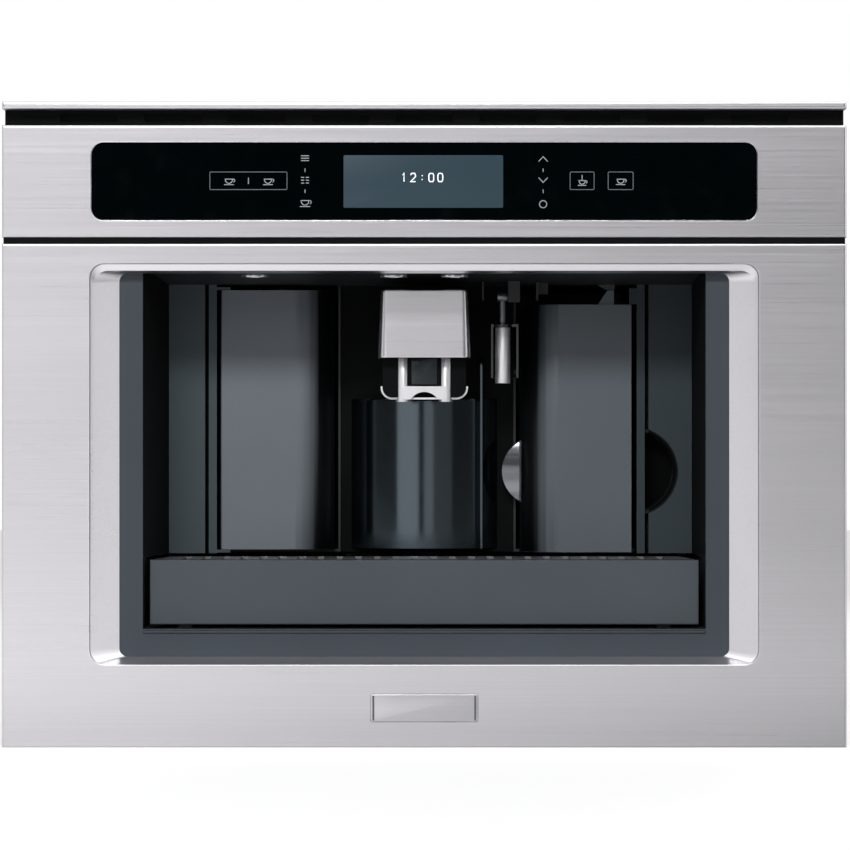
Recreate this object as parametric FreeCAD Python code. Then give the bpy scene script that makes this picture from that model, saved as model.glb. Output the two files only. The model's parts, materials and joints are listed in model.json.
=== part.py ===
import FreeCAD, Part
import math
import os

Vector = FreeCAD.Vector

# Built-in bean-to-cup coffee machine for a 45 cm high kitchen niche.
# Row frame: +X to the right seen from the front, +Y to the rear, +Z up.
# The origin is at the bottom centre of the whole machine. Sizes are millimetres.
# "Depth" below always means the distance behind the steel face of the front.

# Steel front, as bands from the bottom up and from the middle outwards
window_w = 471.0  # opening drawn into the lower panel, measured at the steel face
window_h = 281.8
window_r = 10.0
side_band = 62.0
lower_band = 58.7
upper_band = 14.5
joint_gap = 4.2  # shadow gap between the lower panel and the control fascia
control_h = 79.2
vent_gap = 11.4  # open slot under the top trim
trim_h = 5.2
skin = 1.0
skin_return = 18.0
skin_edge_r = 0.9
bevel_depth = 14.0  # how far the window's sloping sides run in
bevel_side = 19.7
bevel_bottom = 4.6
bevel_top = 6.0

# Depths
flange_depth = 20.0  # steel face to the seals that meet the cabinet
seal_t = 1.5
seal_w = 11.0
case_depth = 374.2
badge_proud = 0.8
buffer_proud = 3.0
buffer_r = 9.0
buffer_in = 40.0

# Fits
seat_gap = 0.2  # between fixed pieces that are not drawn touching
slide_gap = 0.3  # between pieces that slide past each other
pin_gap = 0.05  # radial, hinge pin in its hole

# Control fascia
glass_w = 469.0
glass_h = 55.2
glass_r = 8.5
glass_t = 3.0
display_w = 112.4
display_h = 37.0
display_t = 5.0
board_w = 380.0
board_h = 48.0
board_t = 1.6
chip_w = 18.0
chip_t = 2.5
inner_chip_x = 95.0
outer_chip_x = 140.0
carrier_wall = 2.5
post_w = 8.0  # square posts that carry the niche frame

# Badge plate on the lower band
badge_w = 75.0
badge_h = 19.0
badge_z = 27.9  # height of its middle
badge_bar = 2.6
badge_rim = 1.0

# Casing and runners
cabinet_overlap = 17.5  # front panel beyond the niche, each side
case_drop = 14.0  # top of the casing below the top of the front
case_z0 = 6.0
case_sheet = 1.0
slide_t = 12.7
slide_h = 45.0
slide_len = 350.0
slide_z = 44.0  # height of the runner's middle
slide_d = 26.0  # depth of the runner's front end
slide_sheet = 1.5
slide_section = 9.0  # across the outer rail
slide_lip = 2.5
screw_pitch = 224.0
screw_r = 2.6

# Niche
frame_face_w = 16.8  # visible width of the plastic frame, left and right
frame_sill = 19.7  # and along the bottom
frame_hidden = 3.0  # frame above the steel's edge, out of sight
frame_t = 3.0
frame_skirt = 34.0  # hidden width outside the steel's inner edge
niche_depth = 108.0  # plane of the service door and of the tank
wall_t = 2.5
left_taper = 12.8
right_taper = 4.0
left_post_w = 26.2
right_post_w = 31.4
groove_w = 2.8
groove_d = 8.0
jamb_w = 5.8
bay_front = 138.0
ceiling_drop = 8.0  # ceiling at the door plane, below the frame's top
ceiling_rise = 10.0  # and how much higher it starts at the front
centre_gap = 4.5  # free slot beside the curved ends of the door and the tank

# Service door
door_share = 0.27285  # of the clear width between the jambs
door_side_gap = 1.8
door_low_gap = 4.8
door_top_gap = 4.0
door_bend_r = 28.0
door_side_d = 10.0
cover_t = 2.5
hinge_in = 4.1  # hinge axis from the door's edge
hinge_d = 5.0  # and behind its face
hinge_r = 2.0
hinge_len = 5.0
lug_t = 2.0
pull_z = 60.0  # grip rib inside the door's curved end, from its lower edge
pull_h = 40.0

# Water tank
tank_share = 0.26436  # of the clear width between the jambs
tank_side_gap = 4.0
tank_low_gap = 2.7
tank_top_gap = 14.5
tank_d = 192.0
tank_t = 2.2
tank_lid_t = 4.0
tank_body_drop = 13.0
port_in = 14.0
boss_r = 24.8  # clear finger boss beside the tank's front
boss_in = 11.7  # its axis inside the tank's edge
boss_z = 193.3
boss_d = 8.0
scoop_r = 32.6  # finger scoop in the right post
scoop_out = 1.7  # its axis outside the tank's edge
scoop_depth = 22.0
scoop_bevel = 3.0
stop_w = 5.5  # block on the right jamb above the tank
stop_h = 12.0
tank_wall_in = 3.0  # clear walls inside the cover's edges
tank_corner_r = 6.0
latch_in = 12.0  # latch from the tank's right edge
latch_w = 14.0
latch_drop = 3.5

# Drip tray
tray_gap_x = 4.0
tray_gap_z = 2.4
tray_face_h = 46.3
tray_face_t = 2.5
tray_set_back = 24.0
tray_d = 208.0
tray_t = 2.2
tray_rim_drop = 3.2
tray_side_play = 1.0
grid_t = 3.0
grid_d = 78.0
grid_slots = 26
grid_slot_w = 5.0
grid_border = 9.0
float_r = 6.0
float_disc_r = 11.0
float_in = 67.0  # its axis inside the tray's left end
float_travel = 6.0
float_pin_r = 1.6
float_pin_h = 22.0
float_d = 50.0
grounds_w = 160.0
grounds_x = -70.0  # its middle
grounds_h = 41.0

# Middle of the niche
column_gap = 12.5  # from the column's ends to the curved ends beside it
column_bulge = 20.0
column_z1 = 246.3
slot_w = 28.0
fin_x = 41.0
fin_t = 1.6
fin_d = 14.0
fin_r = 6.0
fin_z1 = 277.0
lamp_r = 7.6
lamp_x = 21.7
lamp_side_x = -121.0
lamp_d = 46.0

# Coffee dispenser
head_w = 66.4
head_top_w = 62.2
head_z0 = 275.5
head_h = 48.5
head_d0 = 52.0
head_d = 46.0
head_t = 1.2
head_r = 6.0
nose_w = 60.0
nose_drop = 28.5  # black nose below the steel cover
nose_r = 7.0
nose_in = 12.0  # nose behind the hood's face
pane_w = 19.0  # polished pane on the nose between the spouts
pane_t = 0.6
spout_in = 16.0  # spouts' axes behind the hood's face
spout_r = 5.0
spout_bore = 3.4
spout_x = 15.5
spout_drop = 31.6
bridge_h = 8.0
bridge_in = 11.0
bridge_d = 11.0
band_t = 1.4  # bright band round the nose's lower corners
tongue_h = 26.0
tongue_z = 301.0
catch_d = 14.0  # reach of the tongue behind the panel, and the lips that hold it there
catch_lip = 5.0
catch_h = 20.0

# Steam and hot-water wand
wand_gap = 13.2  # from the wand's axis to the tank's curved end
wand_d = 88.0
wand_z = 320.3
wand_r = 2.6
wand_eye_r = 4.2
wand_eye_w = 7.2
sleeve_r = 5.5
sleeve_z0 = 257.3
sleeve_h = 40.7
guard_r = 10.0
guard_h = 39.0
wand_pin_r = 2.0
mount_w = 8.5
mount_d = 12.0
bracket_left = 15.0  # thin cheeks that hang from the ceiling beside the mount
bracket_right = 25.5
bracket_front = 8.0
bracket_drop = 12.0
bracket_t = 1.2

# Bays behind the niche
bay_t = 2.0
bay_d = 202.0
deck_t = 2.0
deck_rail_in = 16.0
deck_rail_w = 10.0
deck_foot_in = 22.0
deck_foot_w = 18.0
shelf_t = 1.2
shelf_gap = 2.0

# Brewing unit
brew_d = 195.0
chamber_r = 26.0
chamber_bore = 22.0
chamber_h = 60.0
chamber_z0 = 176.0
piston_z0 = 241.0
piston_h = 34.0
stem_r = 10.0
ring_z = 5.0  # seal groove above the piston's face
ring_h = 3.0
ring_d = 2.0
brew_frame_t = 3.0
brew_frame_h = 158.0
cheek_front = 36.0  # cheeks ahead of the chamber's axis
cheek_back = 10.0  # and behind the spindle's
bearing_w = 18.0
spindle_r = 4.0
spindle_back = 42.0  # spindle behind the chamber's axis

# Grinder, hopper and filler
grinder_x = 20.0
grinder_d = 255.0
grinder_r = 40.0
grinder_h = 42.0
burr_r = 24.0
burr_h = 22.0
burr_top_r = 15.0
burr_play = 2.5
burr_flutes = 8
flute_share = 0.82  # radius at the flutes' bottoms
lip_h = 6.0
duct_w = 18.0
motor_r = 26.0
motor_h = 68.0
shaft_r = 4.0
hopper_w = 180.0
hopper_d = 168.0
hopper_t = 2.2
hopper_box_h = 34.0
throat_r = 21.0
throat_wall = 4.0
lid_t = 3.0
lid_rim_h = 5.0
lid_play = 1.5
lid_edge = 4.0  # sheet left round the openings under the lids
lid_pin_r = 1.2
ear_in = 12.0
filler_x = -108.0
filler_d = 246.0
filler_w = 54.0
pipe_r = 14.5
knob_x = 20.0
knob_d = 147.0
knob_r = 15.0
knob_h = 7.5
knob_shaft_r = 3.0
knob_flutes = 8

# Water circuit and electrics
boiler_w = 84.0
boiler_h = 96.0
boiler_t = 46.0
boiler_fins = 6
boiler_back = 60.0  # its middle ahead of the rear panel's face
boiler_z = 190.0
stub_in = 20.0
stub_drop = 12.0
pump_x = 120.0
pump_d = 312.0
pump_z = 52.0
pump_r = 19.0
pump_end = 16.0
pump_reach = 62.0
pump_tube_r = 11.0
coil_w = 52.0
coil_h = 48.0
board_d0 = 170.0  # mains board on the left side panel
board_d1 = 330.0
board_z0 = 150.0
board_z1 = 300.0
board_off = 10.0
board_edge = 20.0
transformer_w = 43.0
relay_w = 24.0
capacitor_r = 11.0
hose_r = 3.5
hose_bend_r = 12.0
hose_clear = 30.0  # straight run out of each fitting
inlet_reach = 22.0  # hose stub of the brewing head
inlet_x = -205.0
inlet_z = 44.0
inlet_w = 48.0
inlet_h = 28.0
switch_x = -152.0
switch_w = 21.0
switch_h = 15.0
switch_wall = 1.5
rocker_swing = 16.0
rocker_rise = 4.2  # crests of the rocker behind its axle
rocker_dip = 1.3
switch_axle_in = 3.5
switch_axle_r = 2.0
vent_slots = 9
vent_slot_w = 40.0
vent_lip = 3.0
side_slot_pitch = 14.0
rear_slot_pitch = 18.0
rear_slot_w = 110.0
rear_slot_x = 90.0
rear_slot_z = 220.0

# Everything below is worked out from the sizes above
front_width = window_w + 2 * side_band
half_front = front_width / 2
frame_h = lower_band + window_h + upper_band
control_z = frame_h + joint_gap
glass_z0 = control_z + (control_h - glass_h) / 2
glass_mid = glass_z0 + glass_h / 2
vent_z = control_z + control_h
trim_z = vent_z + vent_gap
front_height = trim_z + trim_h
rear_depth = flange_depth + case_depth
overall_depth = badge_proud + rear_depth + buffer_proud
panel_y = badge_proud - overall_depth / 2

cabinet_half = half_front - cabinet_overlap
case_half = cabinet_half - slide_t
case_z1 = front_height - case_drop

inner_x = window_w / 2 - bevel_side
inner_z0 = lower_band + bevel_bottom
inner_z1 = lower_band + window_h - bevel_top
mouth_x = inner_x - frame_face_w
mouth_z0 = inner_z0 + frame_sill
mouth_z1 = inner_z1 + frame_hidden
frame_face = bevel_depth + seat_gap
frame_back = frame_face + frame_t
ceiling_z = mouth_z1 - ceiling_drop

left_post_x = -mouth_x + left_taper
left_groove_x = left_post_x + left_post_w
left_jamb_x = left_groove_x + groove_w
left_jamb_end = left_jamb_x + jamb_w
right_post_x = mouth_x - right_taper
right_groove_x = right_post_x - right_post_w
right_jamb_x = right_groove_x - groove_w
right_jamb_end = right_jamb_x - jamb_w
clear_w = right_jamb_end - left_jamb_end
door_x0 = left_jamb_end + door_side_gap
door_x1 = door_x0 + door_share * clear_w
tank_x1 = right_jamb_end - tank_side_gap
tank_x0 = tank_x1 - tank_share * clear_w
back_x0 = door_x1 + centre_gap
back_x1 = tank_x0 - centre_gap

tray_x = mouth_x - tray_gap_x
tray_z0 = mouth_z0 + tray_gap_z
tray_z1 = tray_z0 + tray_face_h
basin_x = tray_x - 1.0
basin_d0 = tray_set_back + tray_face_t
basin_d1 = basin_d0 + tray_d
basin_z1 = tray_z1 - tray_rim_drop
niche_floor_z = tray_z1 + 2.0
door_z0 = tray_z1 + door_low_gap
door_z1 = ceiling_z - door_top_gap
hinge_x = door_x0 + hinge_in
hinge_depth = niche_depth + hinge_d
tank_z0 = tray_z1 + tank_low_gap
tank_z1 = ceiling_z - tank_top_gap
bay_back = bay_front + bay_d
bay_top = ceiling_z + wall_t
shelf_z = bay_top + shelf_gap
shelf_top = shelf_z + shelf_t
brew_x = (door_x0 + door_x1) / 2
column_half = -door_x1 - column_gap
wand_x = tank_x0 - wand_gap
float_x = float_in - tray_x
head_z1 = head_z0 + head_h
nose_z0 = head_z0 - nose_drop


def y_at(depth):
    return panel_y + depth


def box(x0, x1, d0, d1, z0, z1):
    return Part.makeBox(x1 - x0, d1 - d0, z1 - z0, Vector(x0, y_at(d0), z0))


def rod_z(x, depth, radius, z0, z1):
    return Part.makeCylinder(radius, z1 - z0, Vector(x, y_at(depth), z0), Vector(0, 0, 1))


def rod_y(x, z, radius, d0, d1):
    return Part.makeCylinder(radius, d1 - d0, Vector(x, y_at(d0), z), Vector(0, 1, 0))


def rod_x(depth, z, radius, x0, x1):
    return Part.makeCylinder(radius, x1 - x0, Vector(x0, y_at(depth), z), Vector(1, 0, 0))


def prism(points, way):
    return Part.Face(Part.makePolygon(points + points[:1])).extrude(way)


def plan_prism(points, z0, z1):
    """Outline of (x, depth) points, raised from z0 to z1."""
    return prism([Vector(x, y_at(d), z0) for x, d in points], Vector(0, 0, z1 - z0))


def front_prism(points, d0, d1):
    """Outline of (x, z) points, run back from d0 to d1."""
    return prism([Vector(x, y_at(d0), z) for x, z in points], Vector(0, d1 - d0, 0))


def side_prism(points, x0, x1):
    """Outline of (depth, z) points, run across from x0 to x1."""
    return prism([Vector(x0, y_at(d), z) for d, z in points], Vector(x1 - x0, 0, 0))


def rounded_wire(x0, x1, z0, z1, radius, depth):
    """Upright rectangle with round corners, at one depth."""
    left, right, low, high = x0 + radius, x1 - radius, z0 + radius, z1 - radius
    arcs = []
    for n, (cx, cz) in enumerate(((right, low), (right, high), (left, high), (left, low))):
        turn = [math.pi / 4 * (2 * n - 2 + step) for step in (0, 1, 2)]
        points = [(cx + radius * math.cos(t), cz + radius * math.sin(t)) for t in turn]
        arcs.append([Vector(x, y_at(depth), z) for x, z in points])
    edges = []
    for n, arc in enumerate(arcs):
        edges.append(Part.Arc(*arc).toShape())
        edges.append(Part.LineSegment(arc[2], arcs[(n + 1) % 4][0]).toShape())
    return Part.Wire(edges)


def rounded_plate(x0, x1, z0, z1, radius, d0, d1):
    return Part.Face(rounded_wire(x0, x1, z0, z1, radius, d0)).extrude(Vector(0, d1 - d0, 0))


def fuse(first, *others):
    return first.multiFuse(list(others)).removeSplitter()


def cut(shape, *tools):
    return shape.cut(list(tools)).removeSplitter()


def fillet_where(shape, radius, chosen):
    """Rounds the edges whose two ends both pass the test."""
    edges = [e for e in shape.Edges if len(e.Vertexes) == 2 and all(chosen(v.Point) for v in e.Vertexes)]
    return shape.makeFillet(radius, edges)


def round_face_edges(shape, radius, depth):
    return fillet_where(shape, radius, lambda p: abs(p.y - y_at(depth)) < 0.01)


def round_uprights(shape, radius, depth):
    """Rounds the edges that run up the shape's front face."""

    def runs_up(edge):
        ends = [v.Point for v in edge.Vertexes]
        return all(abs(p.y - y_at(depth)) < 0.01 for p in ends) and abs(ends[0].z - ends[-1].z) > radius

    return shape.makeFillet(radius, [e for e in shape.Edges if runs_up(e)])


def curved_cover(x_square, x_bend, z0, z1, side_depth):
    """Moulded cover with one square side and one side that bends back on a quarter circle."""
    toward = math.copysign(1.0, x_bend - x_square)

    def outline(inset, back, z):
        square = x_square + toward * inset
        bend_at = x_bend - toward * door_bend_r
        radius = door_bend_r - inset
        face = niche_depth + inset
        middle = math.sqrt(0.5) * radius
        points = [
            Vector(square, y_at(niche_depth + side_depth + back), z),
            Vector(square, y_at(face), z),
            Vector(bend_at, y_at(face), z),
            Vector(bend_at + toward * middle, y_at(face + radius - middle), z),
            Vector(bend_at + toward * radius, y_at(face + radius), z),
            Vector(bend_at + toward * radius, y_at(face + radius + back), z),
        ]
        edges = [
            Part.LineSegment(points[0], points[1]).toShape(),
            Part.LineSegment(points[1], points[2]).toShape(),
            Part.Arc(points[2], points[3], points[4]).toShape(),
        ]
        if back:
            edges.append(Part.LineSegment(points[4], points[5]).toShape())
        edges.append(Part.LineSegment(edges[-1].Vertexes[-1].Point, points[0]).toShape())
        return Part.Face(Part.Wire(edges))

    body = outline(0.0, 0.0, z0).extrude(Vector(0, 0, z1 - z0))
    hollow = outline(cover_t, cover_t, z0 + cover_t).extrude(Vector(0, 0, z1 - z0 - 2 * cover_t))
    return cut(body, hollow)


# ---- Front: steel skins, carrier, glass ----


def folded_skin(z0, z1):
    """Steel panel with all four edges folded back."""
    pan = box(-half_front, half_front, 0, skin_return, z0, z1)
    pan = round_face_edges(pan, skin_edge_r, 0)
    return cut(pan, box(skin - half_front, half_front - skin, skin, skin_return + 1, z0 + skin, z1 - skin))


def front_frame():
    half = window_w / 2
    top = lower_band + window_h
    opening = rounded_plate(-half, half, lower_band, top, window_r, -1, skin + 1)
    slope = []
    for grow in (skin, 0):
        mouth = rounded_wire(-half - grow, half + grow, lower_band - grow, top + grow, window_r + grow, 0)
        inner = rounded_wire(
            -inner_x - grow, inner_x + grow, inner_z0 - grow, inner_z1 + grow, window_r + grow, bevel_depth
        )
        slope.append(Part.makeLoft([mouth, inner], True, True))
    return fuse(cut(folded_skin(0, frame_h), opening), cut(slope[0], slope[1]))


def control_fascia():
    play = seat_gap
    x = glass_w / 2 + play
    opening = rounded_plate(-x, x, glass_z0 - play, glass_z0 + glass_h + play, glass_r + play, -1, skin + 1)
    return cut(folded_skin(control_z, vent_z), opening)


def touch_glass():
    x = glass_w / 2
    return rounded_plate(-x, x, glass_z0, glass_z0 + glass_h, glass_r, seat_gap, seat_gap + glass_t)


def display_board():
    """Display on its circuit board, pressed against the back of the glass."""
    z = glass_mid
    d0 = seat_gap + glass_t
    d1 = d0 + display_t
    screen = box(-display_w / 2, display_w / 2, d0, d1, z - display_h / 2, z + display_h / 2)
    board = box(-board_w / 2, board_w / 2, d1, d1 + board_t, z - board_h / 2, z + board_h / 2)
    chips = []
    back = d1 + board_t
    half = chip_w / 2
    for x in (-outer_chip_x, -inner_chip_x, inner_chip_x, outer_chip_x):
        chips.append(box(x - half, x + half, back, back + chip_t, z - half, z + half))
    return fuse(screen, board, *chips)


def top_trim():
    bar = box(-half_front, half_front, 0, skin_return, trim_z, front_height)
    return round_face_edges(bar, trim_h * 0.4, 0)


def fascia_carrier():
    """Black moulding behind the steel: front plate, rim, rear flange, slot channel, glass seat, posts."""
    wall = carrier_wall
    x = half_front - skin
    back = flange_depth - seal_t
    moulding = box(-x, x, skin, back, skin, trim_z)
    hollow = box(wall - x, x - wall, skin + wall, back - wall, skin + wall, trim_z - wall)
    inside = cabinet_half + 1
    rear_hole = box(-inside, inside, back - wall - 1, back + 1, case_z0 + 9, case_z1 - 6)
    reach = window_w / 2 + 2 * skin
    window = box(-reach, reach, 0, back + 1, lower_band - 2 * skin, lower_band + window_h + 2 * skin)
    channel_d = back - 2 * wall
    recess = box(-x - 1, x + 1, 0, channel_d, vent_z, trim_z)
    moulding = cut(moulding, hollow, rear_hole, window, recess)
    floor = box(-x, x, channel_d, channel_d + wall, vent_z - 6, trim_z)
    slots = []
    pitch = 2 * x / (vent_slots + 1)
    low, high = vent_z + vent_lip, trim_z - vent_lip
    half = vent_slot_w / 2
    for n in range(vent_slots):
        middle = pitch * (n + 1) - x
        slots.append(box(middle - half, middle + half, channel_d - 1, channel_d + wall + 1, low, high))
    seat_x = glass_w / 2 + 10
    seat = box(-seat_x, seat_x, skin + wall, skin + 2 * wall, control_z + 5, vent_z - 5)
    moulding = fuse(moulding, cut(floor, *slots), seat)
    play = seat_gap
    half = glass_w / 2 + play
    low, high = glass_z0 - play, glass_z0 + glass_h + play
    pocket = rounded_plate(-half, half, low, high, glass_r, 0, seat_gap + glass_t)
    board_x = board_w / 2 + 1
    board_z = board_h / 2 + 0.5
    board_hole = box(-board_x, board_x, 0, skin + 4 * wall, glass_mid - board_z, glass_mid + board_z)
    # The folded edges of both steel skins bed into the rim
    folds = []
    for z0, z1 in ((0, frame_h), (control_z, vent_z)):
        outer = box(-half_front, half_front, 0, skin_return, z0, z1)
        inner = box(skin - half_front, half_front - skin, 0, skin_return, z0 + skin, z1 - skin)
        folds.append(cut(outer, inner))
    posts = []
    for side in (-1, 1):
        x0, x1 = sorted((side * (reach + post_w / 2), side * (reach + 3 * post_w / 2)))
        for z in (mouth_z0 + post_w, (mouth_z0 + mouth_z1) / 2, mouth_z1 - post_w):
            posts.append(box(x0, x1, skin + wall - 0.1, frame_face, z - post_w / 2, z + post_w / 2))
    return fuse(cut(moulding, pocket, board_hole, *folds), *posts)


def cabinet_seals():
    """Soft strips up both sides of the carrier's back, which meet the front edges of the cabinet."""
    strips = []
    for side in (-1, 1):
        x0, x1 = sorted((side * (cabinet_half + 3), side * (cabinet_half + 3 + seal_w)))
        strips.append(box(x0, x1, flange_depth - seal_t, flange_depth, case_z0, case_z1))
    return Part.makeCompound(strips)


def badge_plate():
    """Bare raised plate with a sunk field between its two end bars."""
    x = badge_w / 2
    z = badge_h / 2
    plate = box(-x, x, -badge_proud, 0, badge_z - z, badge_z + z)
    low = badge_z - z + badge_rim
    high = badge_z + z - badge_rim
    field = box(badge_bar - x, x - badge_bar, -badge_proud - 1, -badge_proud * 0.6, low, high)
    return cut(plate, field)


# ---- Niche lining ----


def niche_frame():
    """Grey plastic frame clamped behind the steel's inner edge, with a skirt round the mouth."""
    x = inner_x + frame_skirt
    plate = box(-x, x, frame_face, frame_back, inner_z0 - 18, mouth_z1 + 9)
    wrap = mouth_x + deck_t
    skirt = box(-wrap, wrap, frame_back, tray_set_back, mouth_z0 - deck_t, niche_floor_z)
    sill = box(-mouth_x, mouth_x, frame_face - 1.2, frame_face, mouth_z0 - 3, mouth_z0 - 1.2)
    mouth = box(-mouth_x, mouth_x, 0, flange_depth + bay_front, mouth_z0, mouth_z1)
    return cut(fuse(plate, skirt, sill), mouth)


def side_wall(sign, post_x, groove_x, jamb_x, jamb_end):
    """Sloping wall, post face, shadow groove and jamb, as one folded moulding."""
    s = sign
    front = s * mouth_x
    out = s * wall_t
    points = [
        (front, frame_back),
        (post_x, niche_depth),
        (groove_x, niche_depth),
        (groove_x, niche_depth + groove_d),
        (jamb_x, niche_depth + groove_d),
        (jamb_x, niche_depth),
        (jamb_end, niche_depth),
        (jamb_end, bay_front),
        (jamb_x, bay_front),
        (jamb_x, niche_depth + groove_d + wall_t),
        (post_x + out, niche_depth + groove_d + wall_t),
        (post_x + out, niche_depth + wall_t),
        (front + out, frame_back + wall_t),
        (front + 8 * out, frame_back + wall_t),
        (front + 8 * out, frame_back),
    ]
    return plan_prism(points, niche_floor_z, mouth_z1 + wall_t)


def niche_wall_left():
    """Left wall with the two lugs and pins that the service door turns on."""
    wall = side_wall(-1, left_post_x, left_groove_x, left_jamb_x, left_jamb_end)
    reach = hinge_x + 2 * hinge_r
    front = niche_depth + 0.5
    back = hinge_depth + hinge_d
    low = box(left_jamb_end, reach, front, back, door_z0 - slide_gap - lug_t, door_z0 - slide_gap)
    high = box(left_jamb_end, reach, front, back, door_z1 + slide_gap, door_z1 + slide_gap + lug_t)
    low_pin = rod_z(hinge_x, hinge_depth, hinge_r, door_z0 - slide_gap - 1, door_z0 + hinge_len)
    high_pin = rod_z(hinge_x, hinge_depth, hinge_r, door_z1 - hinge_len, door_z1 + slide_gap + 1)
    return fuse(wall, low, high, low_pin, high_pin)


def niche_wall_right():
    """Right wall; its post is cut by a round finger scoop with a bevelled rim."""
    wall = side_wall(1, right_post_x, right_groove_x, right_jamb_x, right_jamb_end)
    x = tank_x1 + scoop_out
    face = niche_depth
    reach = scoop_r + 8
    bore_r = scoop_r - scoop_bevel
    beside = box(right_jamb_x, x + reach, 0, bay_back, boss_z - reach, boss_z + reach)
    hole = rod_y(x, boss_z, bore_r, face - 1, face + scoop_depth)
    rim = Part.makeCone(scoop_r, bore_r, scoop_bevel, Vector(x, y_at(face), boss_z), Vector(0, 1, 0))
    cup = rod_y(x, boss_z, bore_r + wall_t, face + wall_t, face + scoop_depth + wall_t)
    stop = box(right_jamb_end - stop_w, right_jamb_end, face + 1, face + 9, tank_z1 + 0.5, tank_z1 + stop_h)
    return fuse(cut(fuse(wall, cup.common(beside)), fuse(hole, rim).common(beside)), stop)


def ceiling_outline():
    return [
        (-mouth_x, frame_back),
        (mouth_x, frame_back),
        (right_post_x, niche_depth),
        (right_jamb_end, niche_depth),
        (right_jamb_end, bay_front),
        (left_jamb_end, bay_front),
        (left_jamb_end, niche_depth),
        (left_post_x, niche_depth),
    ]


def niche_ceiling():
    """Sloping ceiling with three lamp holes, the wand's mount between its cheeks, and the tank's keeper."""
    high = ceiling_z + ceiling_rise
    slab = side_prism(
        [
            (frame_back, high),
            (niche_depth, ceiling_z),
            (bay_front, ceiling_z),
            (bay_front, bay_top),
            (niche_depth, bay_top),
            (frame_back, high + wall_t),
        ],
        -mouth_x,
        mouth_x,
    )
    slab = slab.common(plan_prism(ceiling_outline(), ceiling_z - 1, high + wall_t + 1))
    holes = [rod_z(x, lamp_d, lamp_r, ceiling_z, high + 9) for x in (-lamp_x, lamp_x, lamp_side_x)]
    eye_end = wand_x + wand_eye_w / 2 + slide_gap
    half = mount_d / 2
    low = wand_z - wand_eye_r
    mount = box(eye_end, eye_end + mount_w, wand_d - half, wand_d + half, low, ceiling_z + 2)
    pin = rod_x(wand_d, wand_z, wand_pin_r, wand_x - wand_eye_w / 2, eye_end + 1)
    latch_x = tank_x1 - latch_in
    keeper = front_prism(
        [
            (latch_x - latch_w, ceiling_z + 1),
            (latch_x, ceiling_z + 1),
            (latch_x, ceiling_z - latch_drop),
            (latch_x - latch_w / 2, ceiling_z - latch_drop),
        ],
        niche_depth + 2,
        niche_depth + 9,
    )
    bracket = []
    low = ceiling_z - bracket_drop
    for x in (wand_x - bracket_left, wand_x + bracket_right - bracket_t):
        bracket.append(box(x, x + bracket_t, wand_d - bracket_front, niche_depth - 2, low, ceiling_z + 1))
    block = box(tank_x0 + 12, tank_x0 + 20, niche_depth - 8, niche_depth + 4, ceiling_z - 7, ceiling_z + 1)
    return fuse(cut(slab, *holes), mount, pin, keeper, block, *bracket)


def lamps():
    """Three round downlights: a stepped bezel ring closed by a lens."""
    found = []
    for x in (-lamp_x, lamp_x, lamp_side_x):
        slope = ceiling_rise / (niche_depth - frame_back)
        z = ceiling_z + ceiling_rise - slope * (lamp_d - frame_back)
        flange = rod_z(x, lamp_d, lamp_r + 2.4, z - 3.6, z - 1.3)
        barrel = rod_z(x, lamp_d, lamp_r - seat_gap, z - 1.6, z + 12)
        found.append(cut(fuse(flange, barrel), rod_z(x, lamp_d, lamp_r - 2, z - 4, z - 2.4)))
    return Part.makeCompound(found)


def niche_back():
    """Black panel between the door and the tank, with the slot that the dispenser runs in."""
    panel = box(back_x0, back_x1, bay_front, bay_front + wall_t, niche_floor_z, ceiling_z)
    slot_low = tongue_z - tongue_h / 2 - 42
    slot = box(-slot_w / 2, slot_w / 2, bay_front - 1, bay_front + 9, slot_low, tongue_z + tongue_h / 2 + 2)
    ledge = box(back_x0, back_x1, bay_front - 6, bay_front, ceiling_z - 5, ceiling_z)
    return fuse(cut(panel, slot), ledge)


def bulged_outline(half, bulge, back, z):
    """Flat-backed outline with a bowed front, face at depth back."""
    ends = [Vector(-half, y_at(back), z), Vector(half, y_at(back), z)]
    bow = Part.Arc(ends[0], Vector(0, y_at(back - bulge), z), ends[1]).toShape()
    return Part.Face(Part.Wire([bow, Part.makeLine(ends[1], ends[0])]))


def centre_column():
    """Glossy bowed shell below the dispenser, with one thin fin that runs on up past its top."""
    half = column_half
    z0 = niche_floor_z + 3
    shell = bulged_outline(half, column_bulge, bay_front, z0).extrude(Vector(0, 0, column_z1 - z0))
    inner = bulged_outline(half - 1.6 * cover_t, column_bulge - cover_t, bay_front, z0 - 1)
    shell = cut(shell, inner.extrude(Vector(0, 0, column_z1 - z0 - cover_t + 1)))
    front = bay_front - fin_d
    fin = box(fin_x, fin_x + fin_t, front, bay_front, z0, fin_z1)
    fin = fillet_where(fin, fin_r, lambda p: abs(p.z - fin_z1) < 0.01 and abs(p.y - y_at(front)) < 0.01)
    return fuse(shell, fin)


# ---- Service door, tank, tray ----


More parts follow.
